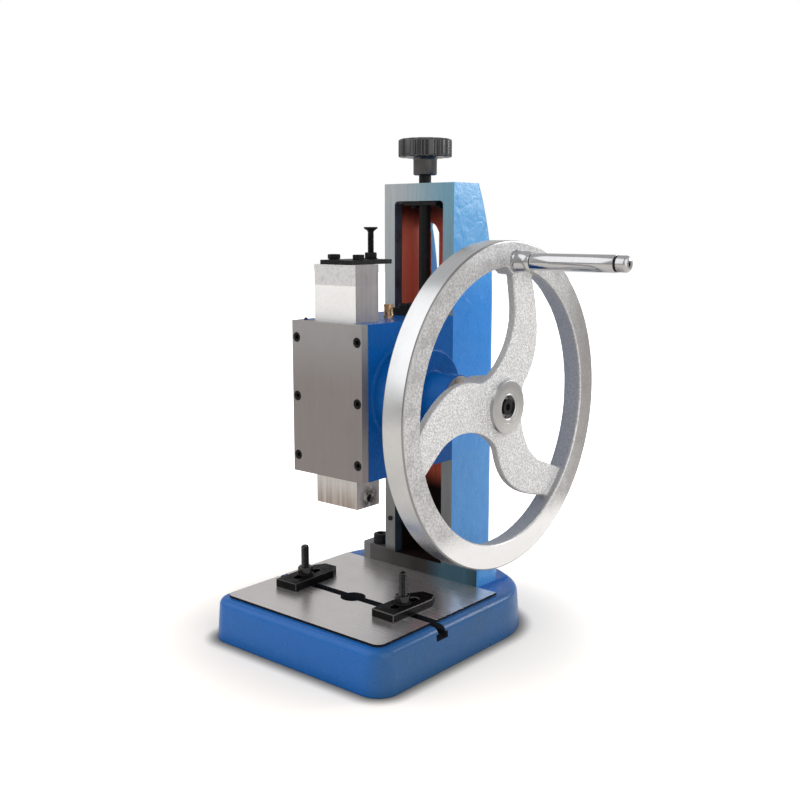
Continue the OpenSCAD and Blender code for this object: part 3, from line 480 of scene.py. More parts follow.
@dataclass(frozen=True)
class SandCast(Finish):
    """Silver-painted sand casting: sparkling grains and a few dark pits."""

    name: str
    colour: Colour
    grain: float = 0.26
    sides: float = 0.70
    depth: float = 0.78
    pit: Colour = (0.06, 0.06, 0.06)
    side: Colour = (0.24, 0.24, 0.245)

    def build(self) -> Material:
        """Grains in height and tone at about 1 mm, dark specks, broader mottling and side faces darkened as
        painted shade.

        Returns:
            The material.
        """
        g = Graph(self.name)
        grains = g.noise(760.0, 4.0, 0.8)
        coarse = g.noise(420.0, 4.0, 0.7, warp=0.8)
        cloud = g.noise(40.0, 3.0)
        body = g.mix(g.band(grains, 0.44, 0.54, 0.0, self.depth), self.colour, shade(self.colour, 0.42))
        body = g.mix(g.band(coarse, 0.52, 0.66, 0.0, 0.40), body, shade(self.colour, 0.42))
        body = g.mix(g.band(g.noise(330.0, 4.0, 0.75), 0.655, 0.70, 0.0, 0.85), body, self.pit)
        body = g.mix(g.band(cloud, 0.45, 0.75, 0.0, 0.25), body, shade(self.colour, 0.62))
        # Painted shade: faces that don't face along X are darkened towards the side tone.
        body = g.mix(g.band(g.facing(Axis.X), 0.35, 0.85, self.sides, 0.0), body, self.side)
        lumps = g.bump(g.noise(150.0, 2.0), 0.5 * MM, 0.5)
        skin = g.bump(g.maths("ADD", grains, coarse), self.grain * MM * 2.0, 0.8, lumps)
        rough = g.band(grains, 0.3, 0.7, 0.36, 0.60)
        return g.surface(Base_Color=body, Metallic=0.15, Roughness=rough, Normal=skin)


@dataclass(frozen=True)
class BlackOxide(Finish):
    """Blackened steel with an oily sheen, brown where it thins."""

    name: str
    colour: Colour = (0.012, 0.012, 0.013)
    wear_and_highlight: Colour = (0.05, 0.045, 0.043)
    rough: float = 0.42
    shine: float = 0.12
    scratched: float = 0.22
    scratch: Colour = (0.25, 0.24, 0.23)

    def build(self) -> Material:
        """Black with thin patches of wear, oil streaks and fine scratches.

        Returns:
            The material.
        """
        g = Graph(self.name)
        wear = g.band(g.noise(150.0, 5.0, 0.7), 0.55, 0.8, 0.0, 0.5)
        scratches = g.noise(1.0, 2.0, 0.7, g.stretched((320.0, 2400.0, 1200.0)))
        body = g.mix(wear, self.colour, self.wear_and_highlight)
        body = g.mix(g.band(scratches, 0.66, 0.76, 0.0, self.scratched), body, self.scratch)
        rough = g.band(g.noise(110.0, 4.0), 0.3, 0.7, self.rough - 0.10, self.rough + 0.12)
        return g.surface(Base_Color=body, Metallic=0.15, Roughness=rough, Specular_IOR_Level=self.shine,
                         Normal=g.bump(g.noise(900.0, 3.0), 0.04 * MM, 0.5))


@dataclass(frozen=True)
class Bronze(Finish):
    """Turned brass or bronze, slightly tarnished."""

    name: str
    colour: Colour = (0.62, 0.40, 0.22)
    tarnish: Colour = (0.20, 0.10, 0.05)

    def build(self) -> Material:
        """Warm metal with brown tarnish.

        Returns:
            The material.
        """
        g = Graph(self.name)
        body = g.mix(g.band(g.noise(300.0, 4.0, 0.7), 0.42, 0.7, 0.0, 0.7), self.colour, self.tarnish)
        rough = g.band(g.noise(500.0, 3.0), 0.3, 0.7, 0.22, 0.42)
        return g.surface(Base_Color=body, Metallic=1.0, Roughness=rough,
                         Normal=g.bump(g.noise(1400.0, 2.0), 0.02 * MM, 0.5))


@dataclass(frozen=True)
class MouldedPlastic(Finish):
    """Glossy black moulding with light rub marks."""

    name: str
    colour: Colour = (0.012, 0.012, 0.013)
    dust: Colour = (0.30, 0.30, 0.31)

    def build(self) -> Material:
        """Black with faint dust and a rubbed gloss.

        Returns:
            The material.
        """
        g = Graph(self.name)
        body = g.mix(g.band(g.noise(240.0, 4.0, 0.65), 0.55, 0.82, 0.0, 0.06), self.colour, self.dust)
        rough = g.band(g.noise(130.0, 4.0), 0.3, 0.7, 0.20, 0.27)
        return g.surface(Base_Color=body, Roughness=rough, Specular_IOR_Level=0.8)


@dataclass(frozen=True)
class FrontSteel(Finish):
    """The column's ground front face, with a painted blue-green reflection towards its upper right."""

    name: str
    colour: Colour
    cast: Colour
    cast_x: Flat = (-38.0 * MM, 40.0 * MM)
    cast_z: Flat = (260.0 * MM, 420.0 * MM)
    lower: Colour = (0.105, 0.095, 0.09)
    lower_z: Flat = (80.0 * MM, 300.0 * MM)
    foot: Colour = (0.170, 0.170, 0.170)
    foot_z: Flat = (57.0 * MM, 66.0 * MM)
    foot_shade_stops: tuple[Stop, ...] = ((-65.5 * MM, -64.0 * MM, (0.070, 0.065, 0.066)),
                                    (-55.0 * MM, -30.0 * MM, (0.030, 0.028, 0.026)),
                                    (-25.0 * MM, 0.0, (0.012, 0.010, 0.009)),
                                    (8.0 * MM, 36.0 * MM, (0.030, 0.095, 0.140)),
                                    (56.0 * MM, 72.0 * MM, (0.018, 0.062, 0.085)))

    def build(self) -> Material:
        """Vertical grinding lines, darker low down, a painted reflection upwards and to the right, and
        painted shade and reflection on the foot.

        Returns:
            The material.
        """
        g = Graph(self.name)
        lines = g.noise(1.0, 3.0, 0.7, g.stretched((1900.0, 1900.0, 26.0)))
        x, z = g.axis(Axis.X), g.axis(Axis.Z)
        across = g.band(x, *self.cast_x)
        up = g.band(z, *self.cast_z, 0.15, 1.0)
        # Painted reflection: the blue-green cast stands in for the blue paint reflected in the ground face.
        body = g.mix(g.maths("MULTIPLY", across, up), self.colour, self.cast)
        body = g.mix(g.band(z, *self.lower_z, 0.70, 0.0), body, self.lower)
        # Painted shade and reflection: the foot's tones, dark with a teal band, stand in for its shade and
        # the blue it reflects.
        body = g.mix(g.band(z, *self.foot_z, 1.0, 0.0), body, g.steps(x, self.foot, *self.foot_shade_stops))
        body = g.mix(g.band(lines, 0.3, 0.75, 0.0, 0.3), body, shade(self.colour, 0.72), "MULTIPLY")
        rough = g.band(lines, 0.3, 0.7, 0.34, 0.48)
        return g.surface(Base_Color=body, Metallic=0.45, Roughness=rough,
                         Normal=g.bump(lines, 0.02 * MM, 0.6))


@dataclass(frozen=True)
class RedPrimer(Finish):
    """Red primer inside the column: painted bright in the open part, with painted shade at its ends."""

    name: str
    colour: Colour
    low_z: Flat
    high_z: Flat
    dark: Colour = (0.012, 0.006, 0.005)

    def build(self) -> Material:
        """Dull paint with streaks, with painted shade below and under the crown.

        Returns:
            The material.
        """
        g = Graph(self.name)
        z = g.axis(Axis.Z)
        streaks = g.noise(1.0, 3.0, 0.6, g.stretched((160.0, 160.0, 14.0)))
        body = g.mix(g.band(streaks, 0.35, 0.7, 0.0, 0.45), self.colour, shade(self.colour, 0.5))
        # Painted shade: the primer is darkened towards black at the cavity's lower and upper ends.
        body = g.mix(g.band(z, *self.low_z, 1.0, 0.0), body, self.dark)
        body = g.mix(g.band(z, *self.high_z, 0.0, 0.9), body, self.dark)
        rough = g.band(g.noise(90.0, 3.0), 0.3, 0.7, 0.42, 0.62)
        return g.surface(Base_Color=body, Roughness=rough, Specular_IOR_Level=0.3,
                         Normal=g.bump(g.noise(160.0, 3.0), 0.3 * MM, 0.6))


@dataclass(frozen=True)
class PaleFloor(Finish):
    """The pale floor: matt paper near the press, plain white farther off."""

    name: str
    colour: Colour = (0.98, 0.94, 0.88)
    contact_shadow: Colour = (0.05, 0.048, 0.045)
    near: float = 0.15
    far: float = 0.39
    lift: float = 0.10
    foot: Flat = (110.0 * MM, 127.5 * MM)
    corner: Flat = (21.0 * MM, 73.0 * MM)
    shadow_reach: float = 17.0 * MM

    def build(self) -> Material:
        """Plain paper with a painted contact shadow round the base, that fades into white light for the
        camera.

        Returns:
            The material.
        """
        g = Graph(self.name)
        body = g.mix(g.band(g.noise(3.0, 2.0), 0.3, 0.7), self.colour, shade(self.colour, 0.985))
        # Painted shadow: the paper is darkened in a band round the base's outline.
        body = g.mix(g.band(self.away(g), -2.0 * MM, self.shadow_reach, 0.80, 0.0), body, self.contact_shadow)
        length = g.node("ShaderNodeVectorMath", {0: g.coords}, operation="LENGTH")
        far = g.band(length.outputs["Value"], self.near, self.far, self.lift, 1.0)
        far = g.maths("MULTIPLY", far, g.band(self.away(g), 0.0, self.shadow_reach))
        seen = g.node("ShaderNodeLightPath").outputs["Is Camera Ray"]
        return g.surface(Base_Color=body, Roughness=0.9, Specular_IOR_Level=0.1,
                         Emission_Color=(1.0, 1.0, 1.0), Emission_Strength=g.maths("MULTIPLY", far, seen))

    def away(self, g: Graph) -> Socket:
        """Distance from the base's rounded outline.

        Args:
            g: the material's tree.

        Returns:
            The distance in metres, negative inside.
        """
        front, rear = self.corner
        y = g.axis(Axis.Y)
        corner = g.maths("ADD", front, g.maths("MULTIPLY", g.maths("GREATER_THAN", y), rear - front))
        squares = []
        for value, half in ((g.axis(Axis.X), self.foot[0]), (y, self.foot[1])):
            beyond = g.maths("SUBTRACT", g.maths("ABSOLUTE", value), g.maths("SUBTRACT", half, corner))
            squares.append(g.maths("POWER", g.maths("MAXIMUM", beyond), 2.0))
        return g.maths("SUBTRACT", g.maths("SQRT", g.maths("ADD", *squares)), corner)


class Finishes:
    """The press's finishes by the name of the surface that they are on."""

    # Painted shade: the lighting tone darkens and greys the base towards its +X side.
    base = CastEnamel("base_enamel", (0.006, 0.118, 0.420), (0.022, 0.085, 0.200), ripple=0.10, grain=0.02,
                      gloss=0.30, shine=0.25, coat=0.12, lighting_axis=Axis.X, lighting_from=0.085, lighting_to=0.110)
    # Painted light: the lighting tone pales the column towards its top, and the low tone greys its lower
    # part.
    column = CastEnamel("column_enamel", (0.010, 0.225, 0.690), (0.115, 0.370, 0.660), ripple=0.9, grain=0.06,
                        gloss=0.30, shine=0.30, lighting_from=0.310, lighting_to=0.390, low=(0.050, 0.255, 0.600),
                        low_z=(150.0 * MM, 240.0 * MM))
    # Painted light and shade: the head's lighting tone is paler towards its top and darker below, where the
    # wheel shades it.
    head = CastEnamel("head_enamel", (0.002, 0.070, 0.270), (0.002, 0.100, 0.370), ripple=0.12, grain=0.03,
                      gloss=0.26, shine=0.10, coat=0.0, lighting_from=0.160, lighting_to=0.300)
    # Painted highlight: this lighter enamel on the head's edge roundings stands in for light catching the
    # edges.
    head_edge_highlight = CastEnamel("head_edge_highlight", (0.120, 0.260, 0.480), (0.160, 0.300, 0.520), ripple=0.05, grain=0.03,
                           gloss=0.26, shine=0.3, coat=0.0)
    # Painted light and shade: the primer's colour is set bright to stand in for light in the shaded cavity,
    # and its ends are painted dark.
    primer = RedPrimer("red_primer", (0.980, 0.250, 0.150), low_z=(114.0 * MM, 138.0 * MM),
                       high_z=(384.0 * MM, 408.0 * MM))
    table = GroundSteel("table_steel", (0.77, 0.74, 0.725), Axis.X, rough=0.29, metal=0.88,
                        tint=(0.50, 0.46, 0.43), stain_and_shade=0.22, streak=0.4)
    plate = GroundSteel("plate_steel", (0.245, 0.222, 0.217), Axis.Z, rough=0.42, metal=0.6,
                        tint=(0.21, 0.175, 0.165), stain_and_shade=0.3, pale_z=(240.0 * MM, 306.0 * MM))
    ways = GroundSteel("ways_steel", (0.42, 0.42, 0.42), Axis.Z, rough=0.32)
    # Painted shade and reflection: the inner ways' dark blue colour and near-black patches stand in for the
    # slot's shade and the blue paint they reflect.
    inner_ways = GroundSteel("inner_ways_steel", (0.060, 0.095, 0.140), Axis.Z, rough=0.26, metal=0.5,
                             tint=(0.01, 0.01, 0.015), stain_and_shade=0.9)
    bright = GroundSteel("bright_steel", (0.66, 0.66, 0.66), Axis.X, rough=0.26, metal=1.0)
    # The front's blue-green cast is a painted reflection, and its foot tones are painted shade and
    # reflection.
    front = FrontSteel("column_front", (0.400, 0.430, 0.445), (0.150, 0.310, 0.400))
    ram = ScrapedSteel("ram_steel", (0.93, 0.925, 0.92), 338.3 * MM, 136.6 * MM, (-45.7 * MM, 144.6 * MM))
    rim = TurnedSteel("rim_steel", (0.62, 0.625, 0.63), (-18.8 * MM, 240.5 * MM), rough=0.24)
    # The rim face carries painted shade on its +Y part and painted light on its lower part.
    rim_face = TurnedSteel("rim_face_steel", (0.68, 0.68, 0.69), (-18.8 * MM, 240.5 * MM), rough=0.36,
                           smear=0.4, sand=0.6, metal=0.6, shaded_y=(40.0 * MM, 110.0 * MM),
                           pale_z=(128.0 * MM, 152.0 * MM))
    # Painted shade: a darker turned finish on the rim's outer edges draws a shade line.
    rim_edge_shade = TurnedSteel("rim_edge_steel", (0.30, 0.29, 0.29), (-18.8 * MM, 240.5 * MM), rough=0.2)
    hub = TurnedSteel("hub_steel", (0.50, 0.50, 0.50), (-18.8 * MM, 240.5 * MM), rough=0.26, smear=0.5)
    handle = TurnedSteel("handle_steel", (0.53, 0.53, 0.54), (-10.3 * MM, 361.7 * MM), rough=0.12, smear=0.35)
    wheel = SandCast("wheel_casting", (0.86, 0.86, 0.87))
    # Painted light: the rim's inside is the arms' casting, written paler and with shallower grain to stand in
    # for light.
    rim_inside = SandCast("rim_inside", (0.97, 0.96, 0.93), sides=0.0, depth=0.45)
    black = BlackOxide("black_oxide")
    # Painted highlight: a lighter black on the straps' edge roundings stands in for light catching their
    # edges.
    wear_and_highlight = BlackOxide("edge_highlight", (0.070, 0.066, 0.063), (0.20, 0.19, 0.18), 0.3, 0.5)
    stud = BlackOxide("stud_steel", (0.008, 0.008, 0.008), (0.050, 0.047, 0.045), 0.20, 0.55, 0.06)
    strap = BlackOxide("strap_black", (0.004, 0.004, 0.0045), (0.020, 0.018, 0.017), 0.42, 0.06, 0.08)
    step = BlackOxide("step_shadow", (0.008, 0.009, 0.012), (0.05, 0.05, 0.06), 0.5)
    # Painted shade: the T-slot and the die hole below the table are near-black for the shade in them.
    slot = BlackOxide("slot_painted_shade", (0.020, 0.022, 0.028), (0.14, 0.14, 0.14), 0.4)
    brass = Bronze("oil_brass")
    knob = MouldedPlastic("knob_plastic")
    floor = PaleFloor("pale_floor")


# Mesh tools


def hexagon(corner: float) -> Callable[[float], float]:
    """A hexagon's radius by angle.

    Args:
        corner: distance of its corners from the centre.

    Returns:
        A function from an angle in radians to the radius there.
    """
    flat = corner * math.cos(math.pi / 6)
    return lambda angle: flat / math.cos((angle % (math.pi / 3)) - math.pi / 6)


def trimmed(shape: Callable[[float], float], limit: float) -> Callable[[float], float]:
    """A shape's radius, cut off at a limit."""
    return lambda angle: min(shape(angle), limit)


def arc(centre: Flat, radius: float, start: float, end: float, steps: int) -> list[Flat]:
    """Points on an arc.

    Args:
        centre: the arc's centre.
        radius: its radius.
        start: first angle in degrees.
        end: last angle in degrees.
        steps: number of stretches.

    Returns:
        The points, with both ends.
    """
    angles = [math.radians(start + (end - start) * i / steps) for i in range(steps + 1)]
    return [(centre[0] + radius * math.cos(a), centre[1] + radius * math.sin(a)) for a in angles]


def cubic(points: Sequence[Flat], steps: int) -> list[Flat]:
    """A cubic curve through its first and last point.

    Args:
        points: end, two handles, end.
        steps: number of stretches.

    Returns:
        The points on the curve, with both ends.
    """
    curve = []
    for i in range(steps + 1):
        t = i / steps
        s = 1 - t
        weights = (s ** 3, 3 * s * s * t, 3 * s * t * t, t ** 3)
        curve.append(tuple(sum(w * p[k] for w, p in zip(weights, points)) for k in (0, 1)))
    return curve


class Solid:
    """Closed shapes under construction, in millimetres."""

    def __init__(self) -> None:
        """Starts with nothing."""
        self.bm = bmesh.new()

    def _ring(self, points: Iterable[Point]) -> list[bmesh.types.BMVert]:
        """Adds a ring of vertices."""
        return [self.bm.verts.new([c * MM for c in p]) for p in points]

    def _bridge(self, low: list[bmesh.types.BMVert], high: list[bmesh.types.BMVert]) -> None:
        """Fills the band between two rings, either of which may be one point.

        Args:
            low: the first loop.
            high: the second loop.
        """
        count = max(len(low), len(high))
        for i in range(count):
            j = (i + 1) % count
            corners = [low[i % len(low)], low[j % len(low)], high[j % len(high)], high[i % len(high)]]
            unique = list(dict.fromkeys(corners))
            if len(unique) > 2:
                self.bm.faces.new(unique)

    def loft(self, rings: Sequence[Sequence[Point]], tube: bool = False) -> "Solid":
        """Joins rings of points into a closed skin.

        Args:
            rings: rings of equal length, in order. The first or last may be one point.
            tube: whether the last ring joins the first, otherwise the ends are filled.

        Returns:
            This object, for more shapes.
        """
        made = [self._ring(r) for r in rings]
        for low, high in zip(made, made[1:]):
            self._bridge(low, high)
        if tube:
            self._bridge(made[-1], made[0])
        else:
            for end in (made[0], made[-1]):
                if len(end) > 2:
                    self.bm.faces.new(end)
        return self

    def turn(self, stations: Sequence[Station], axis: Axis, centre: Flat = (0.0, 0.0), sides: int = 96,
             tube: bool = False) -> "Solid":
        """Turns a profile of places and radii round an axis. A radius may change with the angle.

        Args:
            stations: distances along the axis with their radii.
            axis: the axis that the shape is turned round.
            centre: where the axis passes, across it.
            sides: number of points round.
            tube: whether the profile closes on itself.

        Returns:
            This object, for more shapes.
        """
        rings = []
        for along, radius in stations:
            if not callable(radius) and radius <= 0:
                rings.append([axis.place(along, *centre)])
                continue
            ring = []
            for i in range(sides):
                a = 2 * math.pi * i / sides
                r = radius(a) if callable(radius) else radius
                ring.append(axis.place(along, centre[0] + r * math.cos(a), centre[1] + r * math.sin(a)))
            rings.append(ring)
        return self.loft(rings, tube)

    def prism(self, outline: Sequence[Flat], axis: Axis, low: float, high: float) -> "Solid":
        """Extrudes an outline along an axis from low to high."""
        return self.loft([[axis.place(t, u, v) for u, v in outline] for t in (low, high)])

    def box(self, low: Point, high: Point) -> "Solid":
        """Adds a box between two corners."""
        corners = [(low[0], low[1]), (high[0], low[1]), (high[0], high[1]), (low[0], high[1])]
        return self.prism(corners, Axis.Z, low[2], high[2])

    def rod(self, radius: float, axis: Axis, low: float, high: float, centre: Flat,
            sides: int = 64) -> "Solid":
        """Adds a plain cylinder."""
        return self.turn([(low, radius), (high, radius)], axis, centre, sides)

    def build(self, name: str) -> Piece:
        """Turns the shapes into an object with faces outwards.

        Args:
            name: the object's name.

        Returns:
            The object, linked to the scene.
        """
        bmesh.ops.recalc_face_normals(self.bm, faces=self.bm.faces)
        mesh = bpy.data.meshes.new(name)
        self.bm.to_mesh(mesh)
        self.bm.free()
        return link(name, mesh)


def link(name: str, mesh: bpy.types.Mesh) -> Piece:
    """Puts a mesh into the scene as an object at the origin.

    Args:
        name: the object's name.
        mesh: its mesh.

    Returns:
        The object.
    """
    piece = bpy.data.objects.new(name, mesh)
    bpy.context.scene.collection.objects.link(piece)
    return piece


def settle(piece: Piece) -> Piece:
    """Replaces a piece's mesh by its evaluated one and removes its modifiers.

    Args:
        piece: the piece.

    Returns:
        The same piece.
    """
    graph = bpy.context.evaluated_depsgraph_get()
    graph.update()
    mesh = bpy.data.meshes.new_from_object(piece.evaluated_get(graph), preserve_all_data_layers=True,
                                           depsgraph=graph)
    piece.modifiers.clear()
    piece.data = mesh
    return piece


def join(piece: Piece, *others: Piece) -> Piece:
    """Adds other objects' meshes to a piece's mesh and removes the objects.

    Args:
        piece: the piece.
        others: what is added to it.

    Returns:
        The piece.
    """
    bm = bmesh.new()
    for part in (piece, *others):
        bm.from_mesh(part.data)
    bm.to_mesh(piece.data)
    bm.free()
    for part in others:
        bpy.data.objects.remove(part)
    return piece


def work(piece: Piece, operation: Operation, *tools: Solid) -> Piece:
    """Cuts or joins tool shapes into a piece.

    Args:
        piece: the piece.
        operation: what the tools do.
        tools: the shapes.

    Returns:
        The piece with a plain mesh.
    """
    objects = [tool.build(f"{piece.name}_tool") for tool in tools]
    for tool in objects:
        modifier = piece.modifiers.new("tool", "BOOLEAN")
        modifier.operation = operation.value
        modifier.object = tool
        modifier.solver = "EXACT"
    settle(piece)
    for tool in objects:
        bpy.data.objects.remove(tool)
    return piece


def clean(piece: Piece, near: float = 0.002, flat: float = 0.4) -> Piece:
    """Merges near points and joins flat neighbouring faces.

    Args:
        piece: the piece.
        near: the greatest gap between points that are merged.
        flat: the greatest angle between faces that are joined, in degrees.

    Returns:
        The same piece.
    """
    bm = bmesh.new()
    bm.from_mesh(piece.data)
    bmesh.ops.remove_doubles(bm, verts=bm.verts, dist=near * MM)
    bmesh.ops.dissolve_limit(bm, angle_limit=math.radians(flat), verts=bm.verts, edges=bm.edges,
                             delimit={"MATERIAL"})
    bm.to_mesh(piece.data)
    bm.free()
    return piece


def soften(piece: Piece, width: float, segments: int = 2, angle: float = 34.0,
           edge: int = -1) -> Piece:
    """Rounds a piece's sharp edges.

    Args:
        piece: the piece.
        width: the edges' width.
        segments: how finely they are rounded.
        angle: the least angle in degrees between the faces of a sharp edge.
        edge: the material slot of the rounding, or -1 for that of the faces beside it.

    Returns:
        The piece with a plain mesh.
    """
    smooth(piece, angle)
    modifier = piece.modifiers.new("edge", "BEVEL")
    modifier.width = width * MM
    modifier.segments = segments
    modifier.limit_method = "ANGLE"
    modifier.angle_limit = math.radians(angle)
    modifier.miter_outer = "MITER_ARC"
    modifier.harden_normals = True
    modifier.material = edge
    return settle(piece)


def smooth(piece: Piece, angle: float = 32.0) -> Piece:
    """Shades a piece smooth, with its edges over the angle in degrees left sharp.

    Args:
        piece: the piece.
        angle: the greatest angle that is shaded smooth, in degrees.

    Returns:
        The same piece.
    """
    piece.data.shade_smooth()
    piece.data.set_sharp_from_angle(angle=math.radians(angle))
    return piece


def paint(piece: Piece, finishes: Sequence[Finish],
          rule: Callable[[Vector, Vector], int] = lambda centre, normal: 0) -> Piece:
    """Gives a piece its finishes, face by face.

    Args:
        piece: the piece.
        finishes: its finishes, in the order of its slots.
        rule: the slot for a face from its centre in millimetres and its normal.

    Returns:
        The piece.
    """
    piece.data.materials.clear()
    for finish in finishes:
        piece.data.materials.append(finish.material)
    for face in piece.data.polygons:
        face.material_index = rule(face.center / MM, face.normal)
    return piece


# Recipes in Geometry Nodes


class Recipe(Tree):
    """A Geometry Nodes tree with named inputs."""

    def __init__(self, name: str) -> None:
        """Starts an empty tree.

        Args:
            name: the tree's name.
        """
        super().__init__(bpy.data.node_groups.new(name, "GeometryNodeTree"))
        self.entry = self.tree.nodes.new("NodeGroupInput")
        self.exit = self.tree.nodes.new("NodeGroupOutput")
        self.tree.interface.new_socket(name="Geometry", in_out="OUTPUT", socket_type="NodeSocketGeometry")
        self.keys: dict[str, str] = {}
        self.base = self.input("Geometry", "Geometry")
        self.finish = self.input("Finish", "Material")

    def input(self, name: str, kind: str) -> Socket:
        """Adds a named input and returns the socket that carries it.

        Args:
            name: the input's name.
            kind: its socket's type.

        Returns:
            The input's socket.
        """
        item = self.tree.interface.new_socket(name=name, in_out="INPUT", socket_type=f"NodeSocket{kind}")
        self.keys[name] = item.identifier
        return self.entry.outputs[name]

    def close(self, shape: Socket) -> "Recipe":
        """Ends the tree in realised instances with their finish.

        Args:
            shape: the finished geometry.

        Returns:
            This recipe.
        """
        real = self.node("GeometryNodeRealizeInstances", {0: shape})
        dressed = self.node("GeometryNodeSetMaterial", {"Geometry": real.outputs[0], "Material": self.finish})
        self.tree.links.new(dressed.outputs[0], self.exit.inputs[0])
        return self

    def grow(self, name: str, base: bpy.types.Mesh, finish: Finish, **values: object) -> Piece:
        """Runs the tree and keeps its result as a plain mesh.

        Args:
            name: the piece's name.
            base: the mesh that the tree starts from.
            finish: the finish that it sets.
            values: the named inputs, with underscores for blanks.

        Returns:
            The piece.
        """
        piece = bpy.data.objects.new(name, base)
        modifier = piece.modifiers.new("recipe", "NODES")
        modifier.node_group = self.tree
        modifier[self.keys["Finish"]] = finish.material
        for key, value in values.items():
            modifier[self.keys[key.replace("_", " ")]] = value
        bpy.context.scene.collection.objects.link(piece)
        return settle(piece)


def screw_rows() -> Recipe:
    """A recipe that sets a screw on every point, each turned by chance about its own axis.

    Returns:
        The recipe.
    """
    recipe = Recipe("screw_rows")
    screw = recipe.input("Screw", "Object")
    facing = recipe.input("Facing", "Rotation")
    seed = recipe.input("Seed", "Int")
    spin = recipe.node("FunctionNodeRandomValue", {"Seed": seed}, data_type="FLOAT")
    spin.inputs[3].default_value = 2 * math.pi
    euler = recipe.node("ShaderNodeCombineXYZ", {"Z": spin.outputs[1]})
    about = recipe.node("FunctionNodeEulerToRotation", {0: euler.outputs[0]})
    turn = recipe.node("FunctionNodeRotateRotation", {"Rotation": facing, "Rotate By": about.outputs[0]},
                       rotation_space="LOCAL")
    info = recipe.node("GeometryNodeObjectInfo", {"Object": screw}, transform_space="ORIGINAL")
    placing = {"Points": recipe.base, "Instance": info.outputs["Geometry"], "Rotation": turn.outputs[0]}
    rows = recipe.node("GeometryNodeInstanceOnPoints", placing)
    return recipe.close(rows.outputs[0])


def threads() -> Recipe:
    """A recipe that winds a V-thread round a core along Z.

    Returns:
        The recipe.
    """
    recipe = Recipe("threads")
    crest = recipe.input("Crest radius", "Float")
    depth = recipe.input("Depth", "Float")
    pitch = recipe.input("Pitch", "Float")
    length = recipe.input("Length", "Float")
    start = recipe.input("Start", "Vector")
    root = recipe.maths("SUBTRACT", crest, depth)
    turns = recipe.maths("DIVIDE", length, pitch)
    coil = {"Resolution": 28, "Rotations": turns, "Start Radius": root, "End Radius": root, "Height": length}
    spiral = recipe.node("GeometryNodeCurveSpiral", coil)
    upright = recipe.node("GeometryNodeSetCurveNormal", {"Curve": spiral.outputs[0]}, mode="Z_UP")
    ridge = recipe.node("GeometryNodeCurvePrimitiveCircle", {"Resolution": 4, "Radius": depth})
    sweep = {"Curve": upright.outputs[0], "Profile Curve": ridge.outputs[0], "Fill Caps": True}
    wound = recipe.node("GeometryNodeCurveToMesh", sweep)
    placed = recipe.node("GeometryNodeTransform", {"Geometry": wound.outputs[0], "Translation": start})
    both = recipe.tree.nodes.new("GeometryNodeJoinGeometry")
    recipe.tree.links.new(placed.outputs[0], both.inputs[0])
    recipe.tree.links.new(recipe.base, both.inputs[0])
    return recipe.close(both.outputs[0])


def revolved() -> Recipe:
    """A recipe that turns a closed profile round X along a circle of one metre.

    Returns:
        The recipe.
    """
    recipe = Recipe("revolved")
    sides = recipe.input("Sides", "Int")
    centre = recipe.input("Centre", "Vector")
    profile = recipe.node("GeometryNodeMeshToCurve", {"Mesh": recipe.base})
    path = recipe.node("GeometryNodeCurvePrimitiveCircle", {"Resolution": sides, "Radius": 1.0})
    sweep = {"Curve": path.outputs[0], "Profile Curve": profile.outputs[0]}
    swept = recipe.node("GeometryNodeCurveToMesh", sweep)
    laid = recipe.node("GeometryNodeTransform", {"Geometry": swept.outputs[0], "Translation": centre})
    laid.inputs["Rotation"].default_value = (0.0, math.pi / 2, 0.0)
    return recipe.close(laid.outputs[0])


def fluted() -> Recipe:
    """A recipe that presses flutes into a turned knob round an upright axis.

    Returns:
        The recipe.
    """
    recipe = Recipe("fluted")
    count = recipe.input("Flutes", "Float")
    depth = recipe.input("Depth", "Float")
    inner = recipe.input("Inner radius", "Float")
    outer = recipe.input("Outer radius", "Float")
    centre = recipe.input("Centre", "Vector")
    place = recipe.node("GeometryNodeInputPosition")
    away = recipe.node("ShaderNodeVectorMath", {0: place.outputs[0], 1: centre}, operation="SUBTRACT")
    split = recipe.node("ShaderNodeSeparateXYZ", {0: away.outputs[0]})
    angle = recipe.maths("ARCTAN2", split.outputs[1], split.outputs[0])
    wave = recipe.maths("COSINE", recipe.maths("MULTIPLY", angle, count))
    groove = recipe.band(wave, -0.25, 1.0)
    squares = [recipe.maths("POWER", split.outputs[k], 2.0) for k in (0, 1)]
    radius = recipe.maths("SQRT", recipe.maths("ADD", *squares))
    reach = recipe.band(radius, inner, outer)
    press = recipe.maths("MULTIPLY", recipe.maths("MULTIPLY", groove, reach), depth)
    shrink = recipe.maths("DIVIDE", press, recipe.maths("MAXIMUM", radius, 0.001))
    inwards = {0: away.outputs[0], 1: (-1.0, -1.0, 0.0)}
    flat = recipe.node("ShaderNodeVectorMath", inwards, operation="MULTIPLY")
    push = recipe.node("ShaderNodeVectorMath", {0: flat.outputs[0], "Scale": shrink}, operation="SCALE")
    moved = recipe.node("GeometryNodeSetPosition", {"Geometry": recipe.base, "Offset": push.outputs[0]})
    return recipe.close(moved.outputs[0])


def points_mesh(points: Iterable[Point]) -> bpy.types.Mesh:
    """A mesh of loose points, given in millimetres.

    Args:
        points: the points.

    Returns:
        The mesh.
    """
    mesh = bpy.data.meshes.new("points")
    mesh.from_pydata([[c * MM for c in p] for p in points], [], [])
    return mesh


